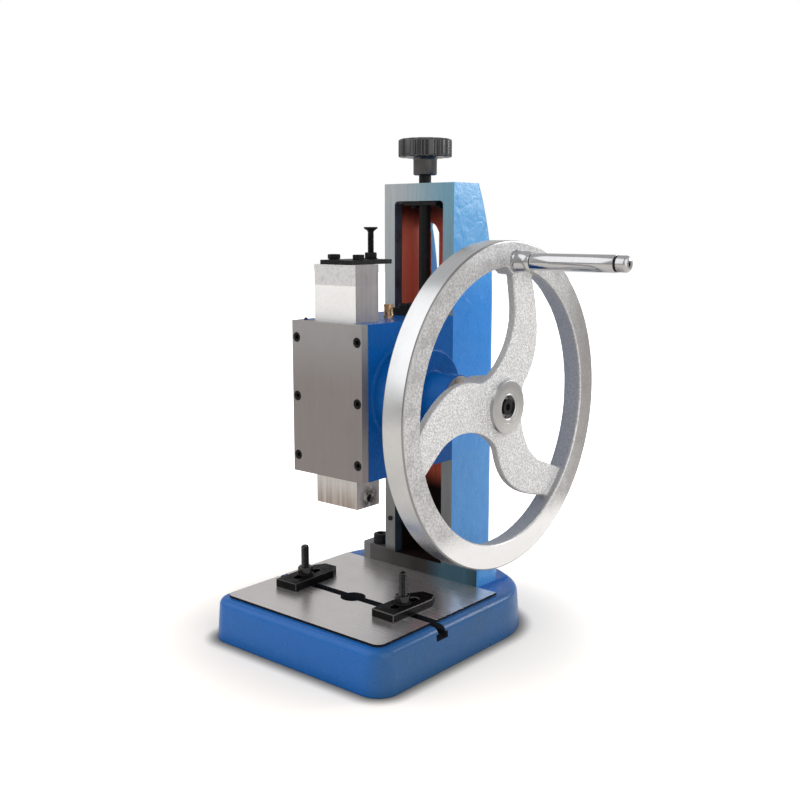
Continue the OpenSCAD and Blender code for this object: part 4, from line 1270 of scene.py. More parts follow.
def threaded(name: str, core: Piece, finish: Finish, radius: float, depth: float, pitch: float,
             start: Point, length: float) -> Piece:
    """Winds a thread round a core, which is removed.

    Args:
        name: the piece's name.
        core: the screw's body, at the thread's root.
        finish: the piece's finish.
        radius: the crest's radius.
        depth: the thread's depth.
        pitch: its pitch.
        start: where it begins, on the axis.
        length: its length.

    Returns:
        The piece.
    """
    piece = RECIPES["threads"].grow(name, core.data, finish, Crest_radius=radius * MM, Depth=depth * MM,
                                    Pitch=pitch * MM, Length=length * MM, Start=tuple(c * MM for c in start))
    bpy.data.objects.remove(core)
    return piece


def socket_screw(radius: float, head_radius: float, head: float, length: float) -> Solid:
    """A socket head screw that points down from the origin, its head above.

    Args:
        radius: the shank's radius.
        head_radius: the head's radius.
        head: the head's height.
        length: the shank's length.

    Returns:
        The screw.
    """
    key = hexagon(radius * 0.9)
    edge = 0.09 * head_radius
    return Solid().turn([(-length, 0.0), (-length, radius * 0.85), (-length + 0.15 * radius, radius),
                         (0.0, radius), (0.0, head_radius - edge / 2), (edge / 2, head_radius),
                         (head - edge * 1.6, head_radius), (head - edge * 0.5, head_radius - edge * 0.5),
                         (head, head_radius - edge * 1.6), (head, lambda a: key(a) * 1.12),
                         (head - 0.06 * head, key), (head * 0.45, key), (head * 0.38, 0.0)], Axis.Z, sides=48)


def hex_bolt(radius: float, corner: float, head: float, length: float) -> Solid:
    """A hexagon bolt with a washer face that points down from the origin.

    Args:
        radius: the shank's radius.
        corner: the head's radius to a corner.
        head: the head's height.
        length: the shank's length.

    Returns:
        The bolt.
    """
    shape = hexagon(corner)
    flat = corner * math.cos(math.pi / 6)
    return Solid().turn([(-length, 0.0), (-length, radius), (0.0, radius), (0.0, flat * 0.97),
                         (0.35, flat * 0.97), (0.36, trimmed(shape, flat)), (0.9, shape),
                         (head - 0.55, shape), (head - 0.25, trimmed(shape, flat * 1.07)),
                         (head, trimmed(shape, flat * 0.95)), (head, 0.0)], Axis.Z, sides=48)


def nut(bore: float, corner: float, low: float, high: float, centre: Flat) -> Solid:
    """A chamfered hexagon nut round an upright stud.

    Args:
        bore: the bore's radius.
        corner: the radius to a corner.
        low: its lower face.
        high: its upper face.
        centre: its axis' place.

    Returns:
        The nut.
    """
    shape = hexagon(corner)
    flat = corner * math.cos(math.pi / 6)
    bevel = trimmed(shape, flat * 0.97)
    middle = trimmed(shape, flat * 1.08)
    return Solid().turn([(low + 0.6, bore), (low, bore + 0.6), (low, bevel), (low + 0.35, middle),
                         (low + 0.75, shape), (high - 0.75, shape), (high - 0.35, middle), (high, bevel),
                         (high, bore + 0.6), (high - 0.6, bore)], Axis.Z, centre, 72, tube=True)


# The press, part by part


class Assembly(ABC):
    """A part of the press that makes its pieces and hands them to their body."""

    body: str

    @abstractmethod
    def make(self) -> None:
        """Builds and dresses every piece."""

    def keep(self, piece: Piece, *nodes: str, slot: str = "") -> Piece:
        """Hands a finished piece to the frame.

        Args:
            piece: the piece.
            nodes: the CAD nodes that it stands for.
            slot: its material slot in the record, taken from the first node if empty.

        Returns:
            The piece.
        """
        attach(piece, self.body)
        if nodes:
            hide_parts(*nodes)
        chosen = slot or SLOTS[nodes[0]]
        triangles = sum(len(f.vertices) - 2 for f in piece.data.polygons)
        log.info("%-22s on %-16s %-16s %7d triangles", piece.name, self.body, chosen, triangles)
        return piece

    def refine(self, node: str, finish: Finish, width: float = 0.3, segments: int = 2,
               edge: Finish | None = None) -> Piece:
        """Stands in for a CAD node with a merged copy that has softened edges.

        Args:
            node: the CAD node.
            finish: its finish.
            width: the width of its edges.
            segments: how finely they are rounded.
            edge: the finish of the rounding, the same as the faces' if none is given.

        Returns:
            The piece.
        """
        mesh = frame["nodes"][node].data.copy()
        piece = paint(clean(link(f"{node}_piece", mesh)), [finish, edge or finish])
        return self.keep(soften(piece, width, segments, edge=1), node)

    def screws(self, name: str, node: str, screw: Solid, points: Sequence[Point], finish: Finish,
               facing: Point = (0.0, 0.0, 0.0), seed: int = 3) -> Piece:
        """Sets a screw on each point.

        Args:
            name: the piece's name.
            node: the CAD node that it replaces.
            screw: the screw, pointing down.
            points: where each head's underside is.
            finish: the screws' finish.
            facing: how the screw is turned, in degrees about X, Y and Z.
            seed: the chance number of the sockets' turn.

        Returns:
            The piece.
        """
        pattern = screw.build(f"{name}_pattern")
        turn = tuple(math.radians(a) for a in facing)
        piece = RECIPES["rows"].grow(name, points_mesh(points), finish, Screw=pattern, Facing=turn, Seed=seed)
        bpy.data.objects.remove(pattern)
        return self.keep(smooth(piece), node)


@dataclass
class Base(Assembly):
    """The cast base with its ground table, T-slot and die hole."""

    body: str = "base"
    half_width: float = 110.0
    half_depth: float = 127.5
    front_radius: float = 21.0
    rear_radius: float = 73.0
    rim: float = 40.5
    shoulder: float = 7.0
    draft: float = 2.5
    table: float = 43.0
    table_half: float = 97.5
    table_y: Flat = (-115.2, 55.3)
    table_radius: float = 8.0
    slot_y: float = -42.0
    neck: float = 5.0
    tee: float = 8.0
    tee_z: Flat = (29.0, 35.0)
    die_radius: float = 12.0
    seat_half: float = 76.0
    wall: float = 15.0
    hollow: float = 27.0
    rib: float = 10.0
    seat_y: Flat = (50.0, 54.0)
    edge: float = 0.45
    hollows_y: tuple[Flat, Flat] = ((-113.5, -64.0), (-20.0, 47.5))

    def outline(self, margin: float) -> list[Flat]:
        """The base's outline, drawn in by a margin.

        Args:
            margin: how far the outline is set in.

        Returns:
            The points.
        """
        w, d = self.half_width - margin, self.half_depth - margin
        f, r = self.front_radius - margin, self.rear_radius - margin
        corners = (((w - f, f - d), f, -90, 14), ((w - r, d - r), r, 0, 30),
                   ((r - w, d - r), r, 90, 30), ((f - w, f - d), f, 180, 14))
        return [p for c, radius, start, steps in corners for p in arc(c, radius, start, start + 90, steps)]

    def body_mesh(self) -> Piece:
        """The rounded block with its pad, seat, slot and hollows.

        Returns:
            The piece.
        """
        s = self.shoulder
        profile = [(1.2, 0.0), (0.3, 0.35), (0.0, 1.2)]
        profile += arc((self.draft + s, self.rim - s), s, 180, 90, 9)
        piece = Solid().loft([[(x, y, z) for x, y in self.outline(m)] for m, z in profile]).build("base")
        w, r, (low, high) = self.table_half, self.table_radius, self.table_y
        pad = (arc((w - r, low + r), r, -90, 0, 6) + [(w, high), (-w, high)]
               + arc((r - w, low + r), r, 180, 270, 6))
        front, least = self.seat_y
        rear = [p for p in self.outline(self.draft + s + 1.0) if p[1] > least and abs(p[0]) < self.seat_half]
        seat = [(self.seat_half, front), (self.seat_half, rear[0][1])] + rear
        seat += [(-self.seat_half, rear[-1][1]), (-self.seat_half, front)]
        work(piece, Operation.JOIN, Solid().prism(pad, Axis.Z, self.rim - 5.0, self.table),
             Solid().prism(seat, Axis.Z, self.rim - 5.0, self.table - 0.02))
        y, far = self.slot_y, self.half_width + 10.0
        bottom, top = self.tee_z
        tee = [(y - self.tee, bottom), (y + self.tee, bottom), (y + self.tee, top), (y + self.neck, top),
               (y + self.neck, self.table + 1), (y - self.neck, self.table + 1), (y - self.neck, top),
               (y - self.tee, top)]
        tools = [Solid().prism(tee, Axis.X, -far, far),
                 Solid().rod(self.die_radius, Axis.Z, -1.0, self.table + 1.0, (0.0, y), 72)]
        reach = self.half_width - self.wall
        for low, high in self.hollows_y:
            for side in (-1, 1):
                x = sorted((side * self.rib, side * reach))
                tools.append(Solid().box((x[0], low, -1.0), (x[1], high, self.hollow)))
        work(piece, Operation.CUT, *tools)
        return soften(clean(piece), self.edge, 2, 38.0)

    def slot_of(self, centre: Vector, normal: Vector) -> int:
        """The finish of a face: 0 enamel, 1 table, 2 dark step, 3 slot.

        Args:
            centre: its centre, in millimetres.
            normal: the way it faces.

        Returns:
            The finish's number.
        """
        x, y, z = centre
        if z > self.rim + 0.2 and abs(x) < self.table_half + 0.3 and y < self.table_y[1] + 0.3:
            sideways = max(abs(x) - (self.table_half - self.table_radius), 0.0)
            forward = max(self.table_y[0] + self.table_radius - y, 0.0)
            inside = math.hypot(sideways, forward) < self.table_radius - 0.5
            if inside and z > self.table - 0.5 and normal.z > 0.3:
                return 1
            if not inside and y < self.seat_y[0]:
                return 1 if z > self.table - 0.5 and normal.z > 0.4 else 2
        in_slot = abs(y - self.slot_y) < self.tee + 0.4 and self.tee_z[0] - 0.4 < z
        if in_slot and abs(x) < self.half_width - 1.5:
            return 3
        if math.hypot(x, y - self.slot_y) < self.die_radius + 0.5 and z > 0.5:
            return 1 if z > self.tee_z[1] else 3
        return 0

    def make(self) -> None:
        """Builds and dresses the base."""
        finishes = [Finishes.base, Finishes.table, Finishes.step, Finishes.slot]
        self.keep(paint(self.body_mesh(), finishes, self.slot_of), "base_casting")


@dataclass
class Column(Assembly):
    """The channel column with its foot, windows and what is fastened to it."""

    body: str = "base"
    half_width: float = 43.0
    front: float = 54.5
    foot_z: float = 43.0
    depth: float = 70.0
    top_depth: float = 45.0
    top: float = 431.0
    taper: float = 320.0
    corner: float = 9.0
    slot_half: float = 30.0
    rail: float = 11.0
    slot_z: Flat = (57.6, 414.2)
    cavity_half: float = 35.0
    cavity_depth: float = 58.5
    cavity_top: float = 36.0
    bend: float = 384.0
    window_x: float = 25.5
    window_half: float = 5.0
    window_z: Flat = (180.0, 389.0)
    foot_half: float = 75.5
    foot_front_radius: float = 4.0
    foot_rear_radius: float = 20.0
    foot_rear: float = 100.0
    foot: float = 17.0
    screw_y: float = 64.5
    screw_hole: float = 6.3
    collar_room: Flat = (8.8, 7.8)
    slot_corner: float = 4.0
    edge: float = 0.8
    retainer_x: float = 15.5
    bolts: tuple[Flat, ...] = ((-58.0, 65.0), (-58.0, 88.0), (58.0, 65.0), (58.0, 88.0))

    def back(self, z: float) -> float:
        """Depth of the column's back at a height: straight, then drawn in by an arc.

        Args:
            z: the height.

        Returns:
            The y of the back.
        """
        drop, rise = self.depth - self.top_depth, self.top - self.taper
        radius = (drop * drop + rise * rise) / (2 * drop)
        up = max(0.0, z - self.taper)
        return self.depth - radius + math.sqrt(radius * radius - up * up)

    def section(self, z: float) -> list[Point]:
        """The column's outline at a height, with rounded rear corners.

        Args:
            z: the height.

        Returns:
            The points, counted anticlockwise.
        """
        w, c = self.half_width, self.corner
        rear = self.front + self.back(z)
        flat = [(-w, self.front), (w, self.front)]
        flat += arc((w - c, rear - c), c, 0, 90, 10) + arc((c - w, rear - c), c, 90, 180, 10)
        return [(x, y, z) for x, y in flat]

    def shell(self) -> Piece:
        """The tapered block with its foot, slot, cavity and windows.

        Returns:
            The piece.
        """
        rise, rings = self.top - self.taper, 14
        heights = [self.foot_z, self.taper] + [self.taper + rise * k / rings for k in range(1, rings + 1)]
        piece = Solid().loft([self.section(z) for z in heights]).build("column")
        x, f, r = self.foot_half, self.foot_front_radius, self.foot_rear_radius
        near, far = self.front + f, self.foot_rear - r
        foot = (arc((f - x, near), f, 270, 180, 8) + arc((r - x, far), r, 180, 90, 12)
                + arc((x - r, far), r, 90, 0, 12) + arc((x - f, near), f, 0, -90, 8))
        work(piece, Operation.JOIN, Solid().prism(foot, Axis.Z, self.foot_z, self.foot_z + self.foot))
        bottom, top = self.slot_z
        h, c, y = self.slot_half, self.slot_corner, self.front
        slot = [(-h, bottom), (h, bottom)]
        slot += arc((h - c, top - c), c, 0, 90, 6) + arc((c - h, top - c), c, 90, 180, 6)
        deep, shallow, lip = y + self.cavity_depth, y + self.cavity_top, y + self.rail
        room = [(lip, bottom), (deep, bottom), (deep, self.bend), (shallow, top), (lip, top)]
        wide, high = self.collar_room
        hole = [(top - 2.0, wide), (top + high, wide), (top + high, self.screw_hole),
                (self.top + 2.0, self.screw_hole)]
        tools = [Solid().prism(slot, Axis.Y, y - 2.0, lip + 1.0),
                 Solid().prism(room, Axis.X, -self.cavity_half, self.cavity_half),
                 Solid().turn(hole, Axis.Z, (0.0, self.screw_y), 48)]
        for side in (-1, 1):
            middle, w = side * self.window_x, self.window_half
            window = arc((middle, self.window_z[0]), w, 180, 360, 12)
            window += arc((middle, self.window_z[1]), w, 0, 180, 12)
            tools.append(Solid().prism(window, Axis.Y, shallow, y + self.depth + 5.0))
        work(piece, Operation.CUT, *tools)
        return soften(clean(piece), self.edge, 3, 36.0)

    def slot_of(self, centre: Vector, normal: Vector) -> int:
        """The finish of a face: 0 enamel, 1 front steel, 2 ways, 3 primer.

        Args:
            centre: its centre, in millimetres.
            normal: the way it faces.

        Returns:
            The finish's number.
        """
        x, y, z = centre
        bare_ear = x < -self.half_width - 0.2 and z < self.foot_z + self.foot + 1.0
        if bare_ear or (y < self.front + 0.75 and normal.y < -0.5):
            return 1
        inside = abs(x) < self.cavity_half + 0.3 and self.slot_z[0] - 0.5 < z < self.slot_z[1] + 0.5
        if inside and y < self.front + self.rail + 0.3:
            return 2 if abs(x) > self.slot_half - 5.0 else 1
        if inside and y < self.front + self.cavity_depth + 0.6:
            outer = self.front + self.back(z)
            return 3 if y < outer - 1.5 and not self._in_window(x, z, normal) else 0
        return 0

    def _in_window(self, x: float, z: float, normal: Vector) -> bool:
        """Whether a face is a window's jamb."""
        near = abs(abs(x) - self.window_x) < self.window_half + 0.9
        return near and abs(normal.y) < 0.5 and self.window_z[0] - 6 < z < self.window_z[1] + 6

    def make(self) -> None:
        """Builds and dresses the column and its small parts."""
        finishes = [Finishes.column, Finishes.front, Finishes.inner_ways, Finishes.primer]
        self.keep(paint(self.shell(), finishes, self.slot_of), "column")
        self.screws("foot_screws", "column_bolts", socket_screw(5.0, 8.0, 10.0, 36.0),
                    [(x, y, self.foot_z + self.foot) for x, y in self.bolts], Finishes.black, seed=5)
        self.refine("screw_retainer", Finishes.black)
        self.screws("retainer_screw_row", "retainer_screws", socket_screw(2.5, 4.25, 3.0, 13.0),
                    [(side * self.retainer_x, self.screw_y + 3.0, self.slot_z[1] - 4.0) for side in (-1, 1)],
                    Finishes.black, (180.0, 0.0, 0.0), 2)
        self.refine("screw_bush", Finishes.brass)
        self.refine("rail_stop_pin", Finishes.black, 0.2)


@dataclass
class LiftScrew(Assembly):
    """The elevating screw with its fluted knob."""

    body: str = "elevating_screw"
    centre: Flat = (0.0, 64.5)
    radius: float = 5.9
    z: Flat = (200.0, 465.5)
    thread_z: Flat = (202.0, 412.0)
    pitch: float = 3.0
    thread_depth: float = 0.16
    collar: float = 8.5
    collar_z: Flat = (414.5, 421.7)
    knob_z: float = 455.5
    knob_radius: float = 25.7
    knob_height: float = 17.8
    neck_radius: float = 11.35
    neck: float = 16.8
    flutes: int = 14
    flute_sides: int = 20
    flute_depth: float = 2.6

    def make(self) -> None:
        """Builds and dresses the screw and knob."""
        root = self.radius - self.thread_depth
        low, high = self.thread_z
        core = Solid().turn([(self.z[0], 0.0), (self.z[0], root - 0.8), (self.z[0] + 0.8, root), (high, root),
                             (high + 0.6, self.radius), (self.collar_z[0], self.radius),
                             (self.collar_z[0], self.collar - 0.4), (self.collar_z[0] + 0.4, self.collar),
                             (self.collar_z[1] - 0.4, self.collar), (self.collar_z[1], self.collar - 0.4),
                             (self.collar_z[1], self.radius), (self.z[1], self.radius), (self.z[1], 0.0)],
                            Axis.Z, self.centre, 48).build("core")
        screw = threaded("lead_screw_piece", core, Finishes.black, self.radius, self.thread_depth, self.pitch,
                         (*self.centre, low), high - low)
        self.keep(smooth(screw), "lead_screw")
        k, r, h, neck = self.knob_z, self.knob_radius, self.knob_height, self.neck_radius
        profile = [(k - self.neck, 0.0), (k - self.neck, neck - 1.2), (k - self.neck + 0.4, neck - 0.4),
                   (k - self.neck + 1.2, neck), (k - 3.0, neck), (k - 1.5, neck + 0.5), (k - 0.4, neck + 1.8),
                   (k + 0.2, neck + 4.0), (k, r - 9.0), (k, r - 5.0), (k, r - 1.3), (k + 0.35, r - 0.4),
                   (k + 1.0, r), (k + 3.0, r), (k + 9.0, r), (k + h - 3.0, r), (k + h - 2.2, r - 0.1),
                   (k + h - 1.5, r - 0.5), (k + h - 0.9, r - 1.5), (k + h - 0.5, r - 3.6),
                   (k + h - 0.2, r - 7.0), (k + h, r - 13.0), (k + h, r - 19.0), (k + h, 0.0)]
        turned = Solid().turn(profile, Axis.Z, self.centre, self.flutes * self.flute_sides).build("turned")
        knob = RECIPES["fluted"].grow("star_knob_piece", turned.data, Finishes.knob,
                                      Flutes=float(self.flutes), Depth=self.flute_depth * MM,
                                      Inner_radius=(r - 9.0) * MM, Outer_radius=(r - 0.5) * MM,
                                      Centre=(self.centre[0] * MM, self.centre[1] * MM, 0.0))
        bpy.data.objects.remove(turned)
        self.keep(smooth(knob, 50.0), "star_knob")
        self.refine("knob_set_screw", Finishes.black, 0.15)


@dataclass
class Head(Assembly):
    """The sliding head with its cover plate, bearings and small fittings."""

    body: str = "head"
    half_width: float = 43.0
    y: Flat = (-66.7, 54.4)
    z: Flat = (166.0, 306.0)
    tongue_half: float = 29.9
    tongue_rear: float = 65.6
    nut_boss_half: float = 14.0
    nut_boss_rear: float = 80.0
    shaft: Flat = (-18.8, 240.5)
    boss_radius: float = 43.0
    boss_end: float = 76.7
    nose_radius: float = 22.5
    nose_end: float = 106.7
    bore: float = 17.0
    left_bore: float = 12.5
    ram_x: Flat = (-30.95, 25.5)
    ram_rear: float = -32.6
    relief_half: float = 14.0
    relief_rear: float = -29.5
    screw_y: float = 64.5
    screw_bore: float = 6.5
    bore_start: float = -14.2
    left_bore_end: float = -10.0
    fillet: float = 3.0
    throat: float = 2.5
    edge: float = 0.7
    cover_seat: float = -69.3
    cover_screws: tuple[Flat, ...] = tuple((x, z) for x in (-37.2, 37.2) for z in (181.5, 236.8, 290.8))
    keeper_seat: float = 75.6
    keeper_screws: tuple[Flat, ...] = tuple((x, z) for x in (-23.0, 23.0) for z in (190.0, 236.0, 282.0))
    bar_screws: tuple[Point, ...] = ((0.0, 32.5, 313.0), (0.0, 46.5, 313.0))

    def casting(self) -> Piece:
        """The head's block with its boss, nose and guides.

        Returns:
            The piece.
        """
        (near, far), (low, high) = self.y, self.z
        w = self.half_width
        piece = Solid().box((-w, near, low), (w, far, high)).build("head")
        b, n, end, tip = self.boss_radius, self.nose_radius, self.boss_end, self.nose_end
        f, t = self.fillet, self.throat
        boss = [(w - f, 0.0), (w - f, b + f)] + arc((w + f, b + f), f, 180, 270, 6)
        boss += arc((end - f, b - f), f, 90, 0, 6) + arc((end + t, n + t), t, 180, 270, 5)
        boss += [(tip - 0.8, n), (tip, n - 0.8), (tip, 0.0)]
        nut_half, over, hair = self.nut_boss_half, 5.0, 0.01
        work(piece, Operation.JOIN,
             Solid().box((-self.tongue_half, far - over, low), (self.tongue_half, self.tongue_rear, high)),
             Solid().box((-nut_half, far - 2.0, low + hair), (nut_half, self.nut_boss_rear, high - hair)),
             Solid().turn(boss, Axis.X, self.shaft, 128))
        below, above = low - over, high + over
        work(piece, Operation.CUT,
             Solid().box((self.ram_x[0], near - over, below), (self.ram_x[1], self.ram_rear, above)),
             Solid().box((-self.relief_half, self.ram_rear - over, below),
                         (self.relief_half, self.relief_rear, above)),
             Solid().rod(self.bore, Axis.X, self.bore_start, tip + over, self.shaft),
             Solid().rod(self.left_bore, Axis.X, -w - over, self.left_bore_end, self.shaft),
             Solid().rod(self.screw_bore, Axis.Z, below, above, (0.0, self.screw_y)))
        return clean(piece)

    def slot_of(self, centre: Vector, normal: Vector) -> int:
        """The finish of a face: 0 enamel, 1 machined.

        Args:
            centre: its centre, in millimetres.
            normal: the way it faces.

        Returns:
            The finish's number.
        """
        x, y, z = centre
        front = y < self.y[0] + 0.3
        beside_ram = self.ram_x[0] - 0.5 < x < self.ram_x[1] + 0.5
        guide = beside_ram and y < self.relief_rear + 0.3 and abs(normal.z) < 0.5
        rear = y > self.y[1] - 0.3 and abs(x) < self.half_width - 0.9
        bored = math.hypot(y - self.shaft[0], z - self.shaft[1]) < self.bore + 0.5 and abs(normal.x) < 0.5
        tip = x > self.nose_end - 0.4
        return 1 if front or guide or rear or bored or tip else 0

    def make(self) -> None:
        """Builds and dresses the head and its small parts."""
        # The head's edge roundings take the painted highlight finish.
        piece = paint(self.casting(), [Finishes.head, Finishes.ways, Finishes.head_edge_highlight], self.slot_of)
        self.keep(soften(piece, self.edge, 2, 36.0, edge=2), "head_casting")
        self.refine("cover_plate", Finishes.plate, 0.5, 3)
        self.screws("cover_screw_row", "cover_screws", socket_screw(2.5, 4.25, 5.0, 14.0),
                    [(x, self.cover_seat, z) for x, z in self.cover_screws], Finishes.black,
                    (90.0, 0.0, 0.0), 7)
        self.screws("keeper_screw_row", "keeper_screws", socket_screw(3.0, 5.0, 6.0, 30.0),
                    [(x, self.keeper_seat, z) for x, z in self.keeper_screws], Finishes.black,
                    (-90.0, 0.0, 0.0), 8)
        self.screws("lift_bar_screw_row", "lift_bar_screws", socket_screw(3.0, 5.0, 4.0, 19.0),
                    self.bar_screws, Finishes.black, seed=4)
        for node, finish, width in (("keeper_strips", Finishes.ways, 0.4), ("lift_bar", Finishes.black, 0.4),
                                    ("gib_screws", Finishes.black, 0.2),
                                    ("gib_lock_nuts", Finishes.black, 0.3), ("ram_gib", Finishes.brass, 0.3),
                                    ("lead_nut", Finishes.brass, 0.3), ("oil_cup", Finishes.brass, 0.25),
                                    ("corner_oiler", Finishes.black, 0.2),
                                    ("outer_bush", Finishes.brass, 0.3), ("inner_bush", Finishes.brass, 0.3),
                                    ("left_bush", Finishes.brass, 0.3)):
            self.refine(node, finish, width)


@dataclass
class Ram(Assembly):
    """The ram with its rack, stop plate and bolts."""

    body: str = "ram"
    plate_top: float = 360.6
    y: float = -47.7
    bolt_x: float = 15.0
    stop_y: float = -14.5

    def make(self) -> None:
        """Dresses the ram and builds its bolts and nut."""
        self.refine("ram", Finishes.ram, 0.7, 3)
        self.refine("rack", Finishes.ways, 0.2)
        self.refine("rack_screws", Finishes.black, 0.2)
        self.refine("stop_plate", Finishes.black, 0.5)
        top = self.plate_top
        self.screws("stop_bolt_row", "stop_bolts", hex_bolt(3.0, 5.75, 4.8, 20.0),
                    [(side * self.bolt_x, self.y, top) for side in (-1, 1)], Finishes.black, seed=11)
        lock = nut(3.05, 5.75, top + 0.7, top + 6.0, (0.0, self.stop_y))
        lock.turn([(top, 3.05), (top, 6.1), (top + 0.3, 6.2), (top + 0.9, 6.2), (top + 0.95, 3.05)], Axis.Z,
                  (0.0, self.stop_y), 48, tube=True)
        self.keep(smooth(paint(lock.build("stop_lock_nut_piece"), [Finishes.black])), "stop_lock_nut")


@dataclass
class StopScrew(Assembly):
    """The threaded stop behind the ram, with its flat flared head."""

    body: str = "stop"
    centre: Flat = (0.0, -14.5)
    low: float = 350.6
    head: float = 386.2
    top: float = 389.6
    radius: float = 3.0
    depth: float = 0.45
    pitch: float = 1.0
    head_radius: float = 6.4
    key: float = 2.0

    def make(self) -> None:
        """Builds and dresses the screw."""
        root, key, r = self.radius - self.depth, hexagon(self.key), self.head_radius
        low, head, top = self.low, self.head, self.top
        profile = [(low, 0.0), (low, root - 0.4), (low + 0.5, root), (head - 1.5, root),
                   (head - 0.8, self.radius), (head, self.radius + 0.3), (head + 1.2, r - 1.2),
                   (head + 2.0, r - 0.2), (head + 2.4, r), (top - 0.3, r), (top, r - 0.35),
                   (top, lambda a: key(a) * 1.1), (top - 0.3, key), (top - 2.4, key), (top - 2.8, 0.0)]
        core = Solid().turn(profile, Axis.Z, self.centre, 48).build("core")
        screw = threaded("stop_screw_piece", core, Finishes.black, self.radius, self.depth, self.pitch,
                         (*self.centre, low + 0.5), head - 2.5 - low)
        self.keep(smooth(screw), "stop_screw")


@dataclass
class ToolScrew(Assembly):
    """The set screw that holds a tool in the ram."""

    body: str = "tool_screw"

    def make(self) -> None:
        """Dresses the screw."""
        self.refine("tool_set_screw", Finishes.black, 0.2)


@dataclass
class Wheel(Assembly):
    """The handwheel on its pinion shaft, with the handle's fixed parts."""

    body: str = "wheel"
    centre: Flat = (-18.8, 240.5)
    radius: float = 138.4
    inner: float = 116.5
    inner_rear: float = 120.7
    rim_x: Flat = (137.7, 158.3)
    spoke_x: Flat = (143.5, 151.0)
    hub_radius: float = 22.9
    hub_x: Flat = (118.0, 158.7)
    bore: float = 9.0
    recess: float = 10.0
    recess_depth: float = 8.0
    handle: Flat = (-10.3, 361.7)
    arms: int = 3
    voxel: float = 1.2
    left: tuple[Flat, ...] = ((41.5, 113.3), (61.0, 63.0), (57.0, 37.0), (35.0, 15.0))
    right: tuple[Flat, ...] = ((35.0, 15.0), (25.0, 2.0), (31.0, -44.0), (64.0, -58.0))
    far: tuple[Flat, ...] = ((100.0, -71.0), (140.0, -74.0), (150.0, 0.0), (120.0, 90.0), (60.0, 140.0))
    band: float = 4.6
    lug: float = 11.0
    spindle_end: float = 250.3
    spindle_radius: float = 4.5
    cap_gap: float = 1.7
    cap_key: float = 2.2

    def rim(self) -> Piece:
        """The turned rim, swept from its profile.

        Returns:
            The piece.
        """
        low, high = self.rim_x
        r, i, k = self.radius, self.inner + 1.4, self.inner_rear + 1.4
        profile = [(high, i), (high, r - 1.3), (high - 0.35, r - 0.45), (high - 1.2, r), (low + 1.2, r),
                   (low + 0.35, r - 0.45), (low, r - 1.3), (low, k), (low + 0.5, k - 0.4),
                   (high - 0.3, i - 0.3)]
        mesh = bpy.data.meshes.new("rim_profile")
        count = len(profile)
        # The sweep's path has a radius of one metre, and its second axis runs against X.
        mesh.from_pydata([((radius - 1000.0) * MM, -x * MM, 0.0) for x, radius in profile],
                         [(j, (j + 1) % count) for j in range(count)], [])
        return RECIPES["revolved"].grow("rim", mesh, Finishes.rim, Sides=360,
                                        Centre=(0.0, self.centre[0] * MM, self.centre[1] * MM))

    def spider(self) -> Piece:
        """The cast arms, hub and inner band, grown together with soft fillets.

        Returns:
            The piece.
        """
        cy, cz = self.centre
        low, high = self.spoke_x
        piece = Solid().rod(self.inner + 3.5, Axis.X, low, high, self.centre, 180).build("wheel_casting")
        tools = []
        for k in range(self.arms):
            turn = Matrix.Rotation(2 * math.pi * k / self.arms, 2)
            outline = cubic(self.left, 16) + cubic(self.right, 16)[1:] + list(self.far)
            spun = [turn @ Vector(p) for p in outline]
            tools.append(Solid().prism([(cy + p.x, cz + p.y) for p in spun], Axis.X, low - 3.0, high + 3.0))
        work(piece, Operation.CUT, *tools)
        h, (start, end) = self.hub_radius, self.hub_x
        hub = [(start, 0.0), (start, h), (low - 3.0, h + 3.0), (low, h + 5.0), (high, h + 5.0),
               (high + 3.0, h + 1.0), (end - 2.5, h - 0.3), (end - 2.5, 0.0)]
        rear, front = self.rim_x[0] + 0.3, self.rim_x[1] - 0.3
        band = [(rear, self.inner_rear), (front, self.inner), (front, self.inner + self.band),
                (rear, self.inner_rear + self.band)]
        extra = Solid().turn(hub, Axis.X, self.centre, 96)
        extra.turn(band, Axis.X, self.centre, 256, tube=True)
        extra.rod(self.lug, Axis.X, low - 2.0, self.rim_x[1] - 0.6, self.handle, 48)
        join(piece, extra.build("extra"))
        grown = piece.modifiers.new("grown", "REMESH")
        grown.mode = "VOXEL"
        grown.voxel_size = self.voxel * MM
        soft = piece.modifiers.new("soft", "SMOOTH")
        soft.factor = 0.6
        soft.iterations = 7
        settle(piece)
        floor, wide = end - self.recess_depth, self.recess + 0.2
        hole = [(start - 3.0, self.bore), (floor, self.bore), (floor, wide), (end + 3.0, wide)]
        return work(piece, Operation.CUT, Solid().turn(hole, Axis.X, self.centre, 64))

    def hub_face(self) -> Piece:
        """The turned collar at the hub's outer end.

        Returns:
            The piece.
        """
        end, h, r, floor = self.hub_x[1], self.hub_radius, self.recess, self.hub_x[1] - self.recess_depth
        profile = [(end - 6.0, h - 0.6), (end - 5.6, h), (end - 0.7, h), (end - 0.2, h - 0.25),
                   (end, h - 0.8), (end, r + 4.2), (end - 0.35, r + 3.8), (end - 0.35, r + 1.2),
                   (end - 0.1, r + 0.8), (end - 0.6, r), (floor, r), (floor, r + 3.0)]
        return Solid().turn(profile, Axis.X, self.centre, 128, tube=True).build("hub_face")

    def spindle(self) -> Piece:
        """The handle's spindle with its collar.

        Returns:
            The piece.
        """
        x, end, r = self.rim_x[1], self.spindle_end, self.spindle_radius
        start = self.spoke_x[0] - 2.0
        profile = [(start, 0.0), (start, 5.0), (x, 5.0), (x, 9.4), (x + 0.3, 9.6), (x + 1.0, 9.5),
                   (x + 2.0, 9.0), (x + 3.6, 8.9), (x + 10.0, 8.6), (x + 12.6, 8.1), (x + 14.0, 7.5),
                   (x + 14.9, 6.7), (x + 15.2, r), (end, r), (end, 0.0)]
        return Solid().turn(profile, Axis.X, self.handle, 64).build("handle_spindle_piece")

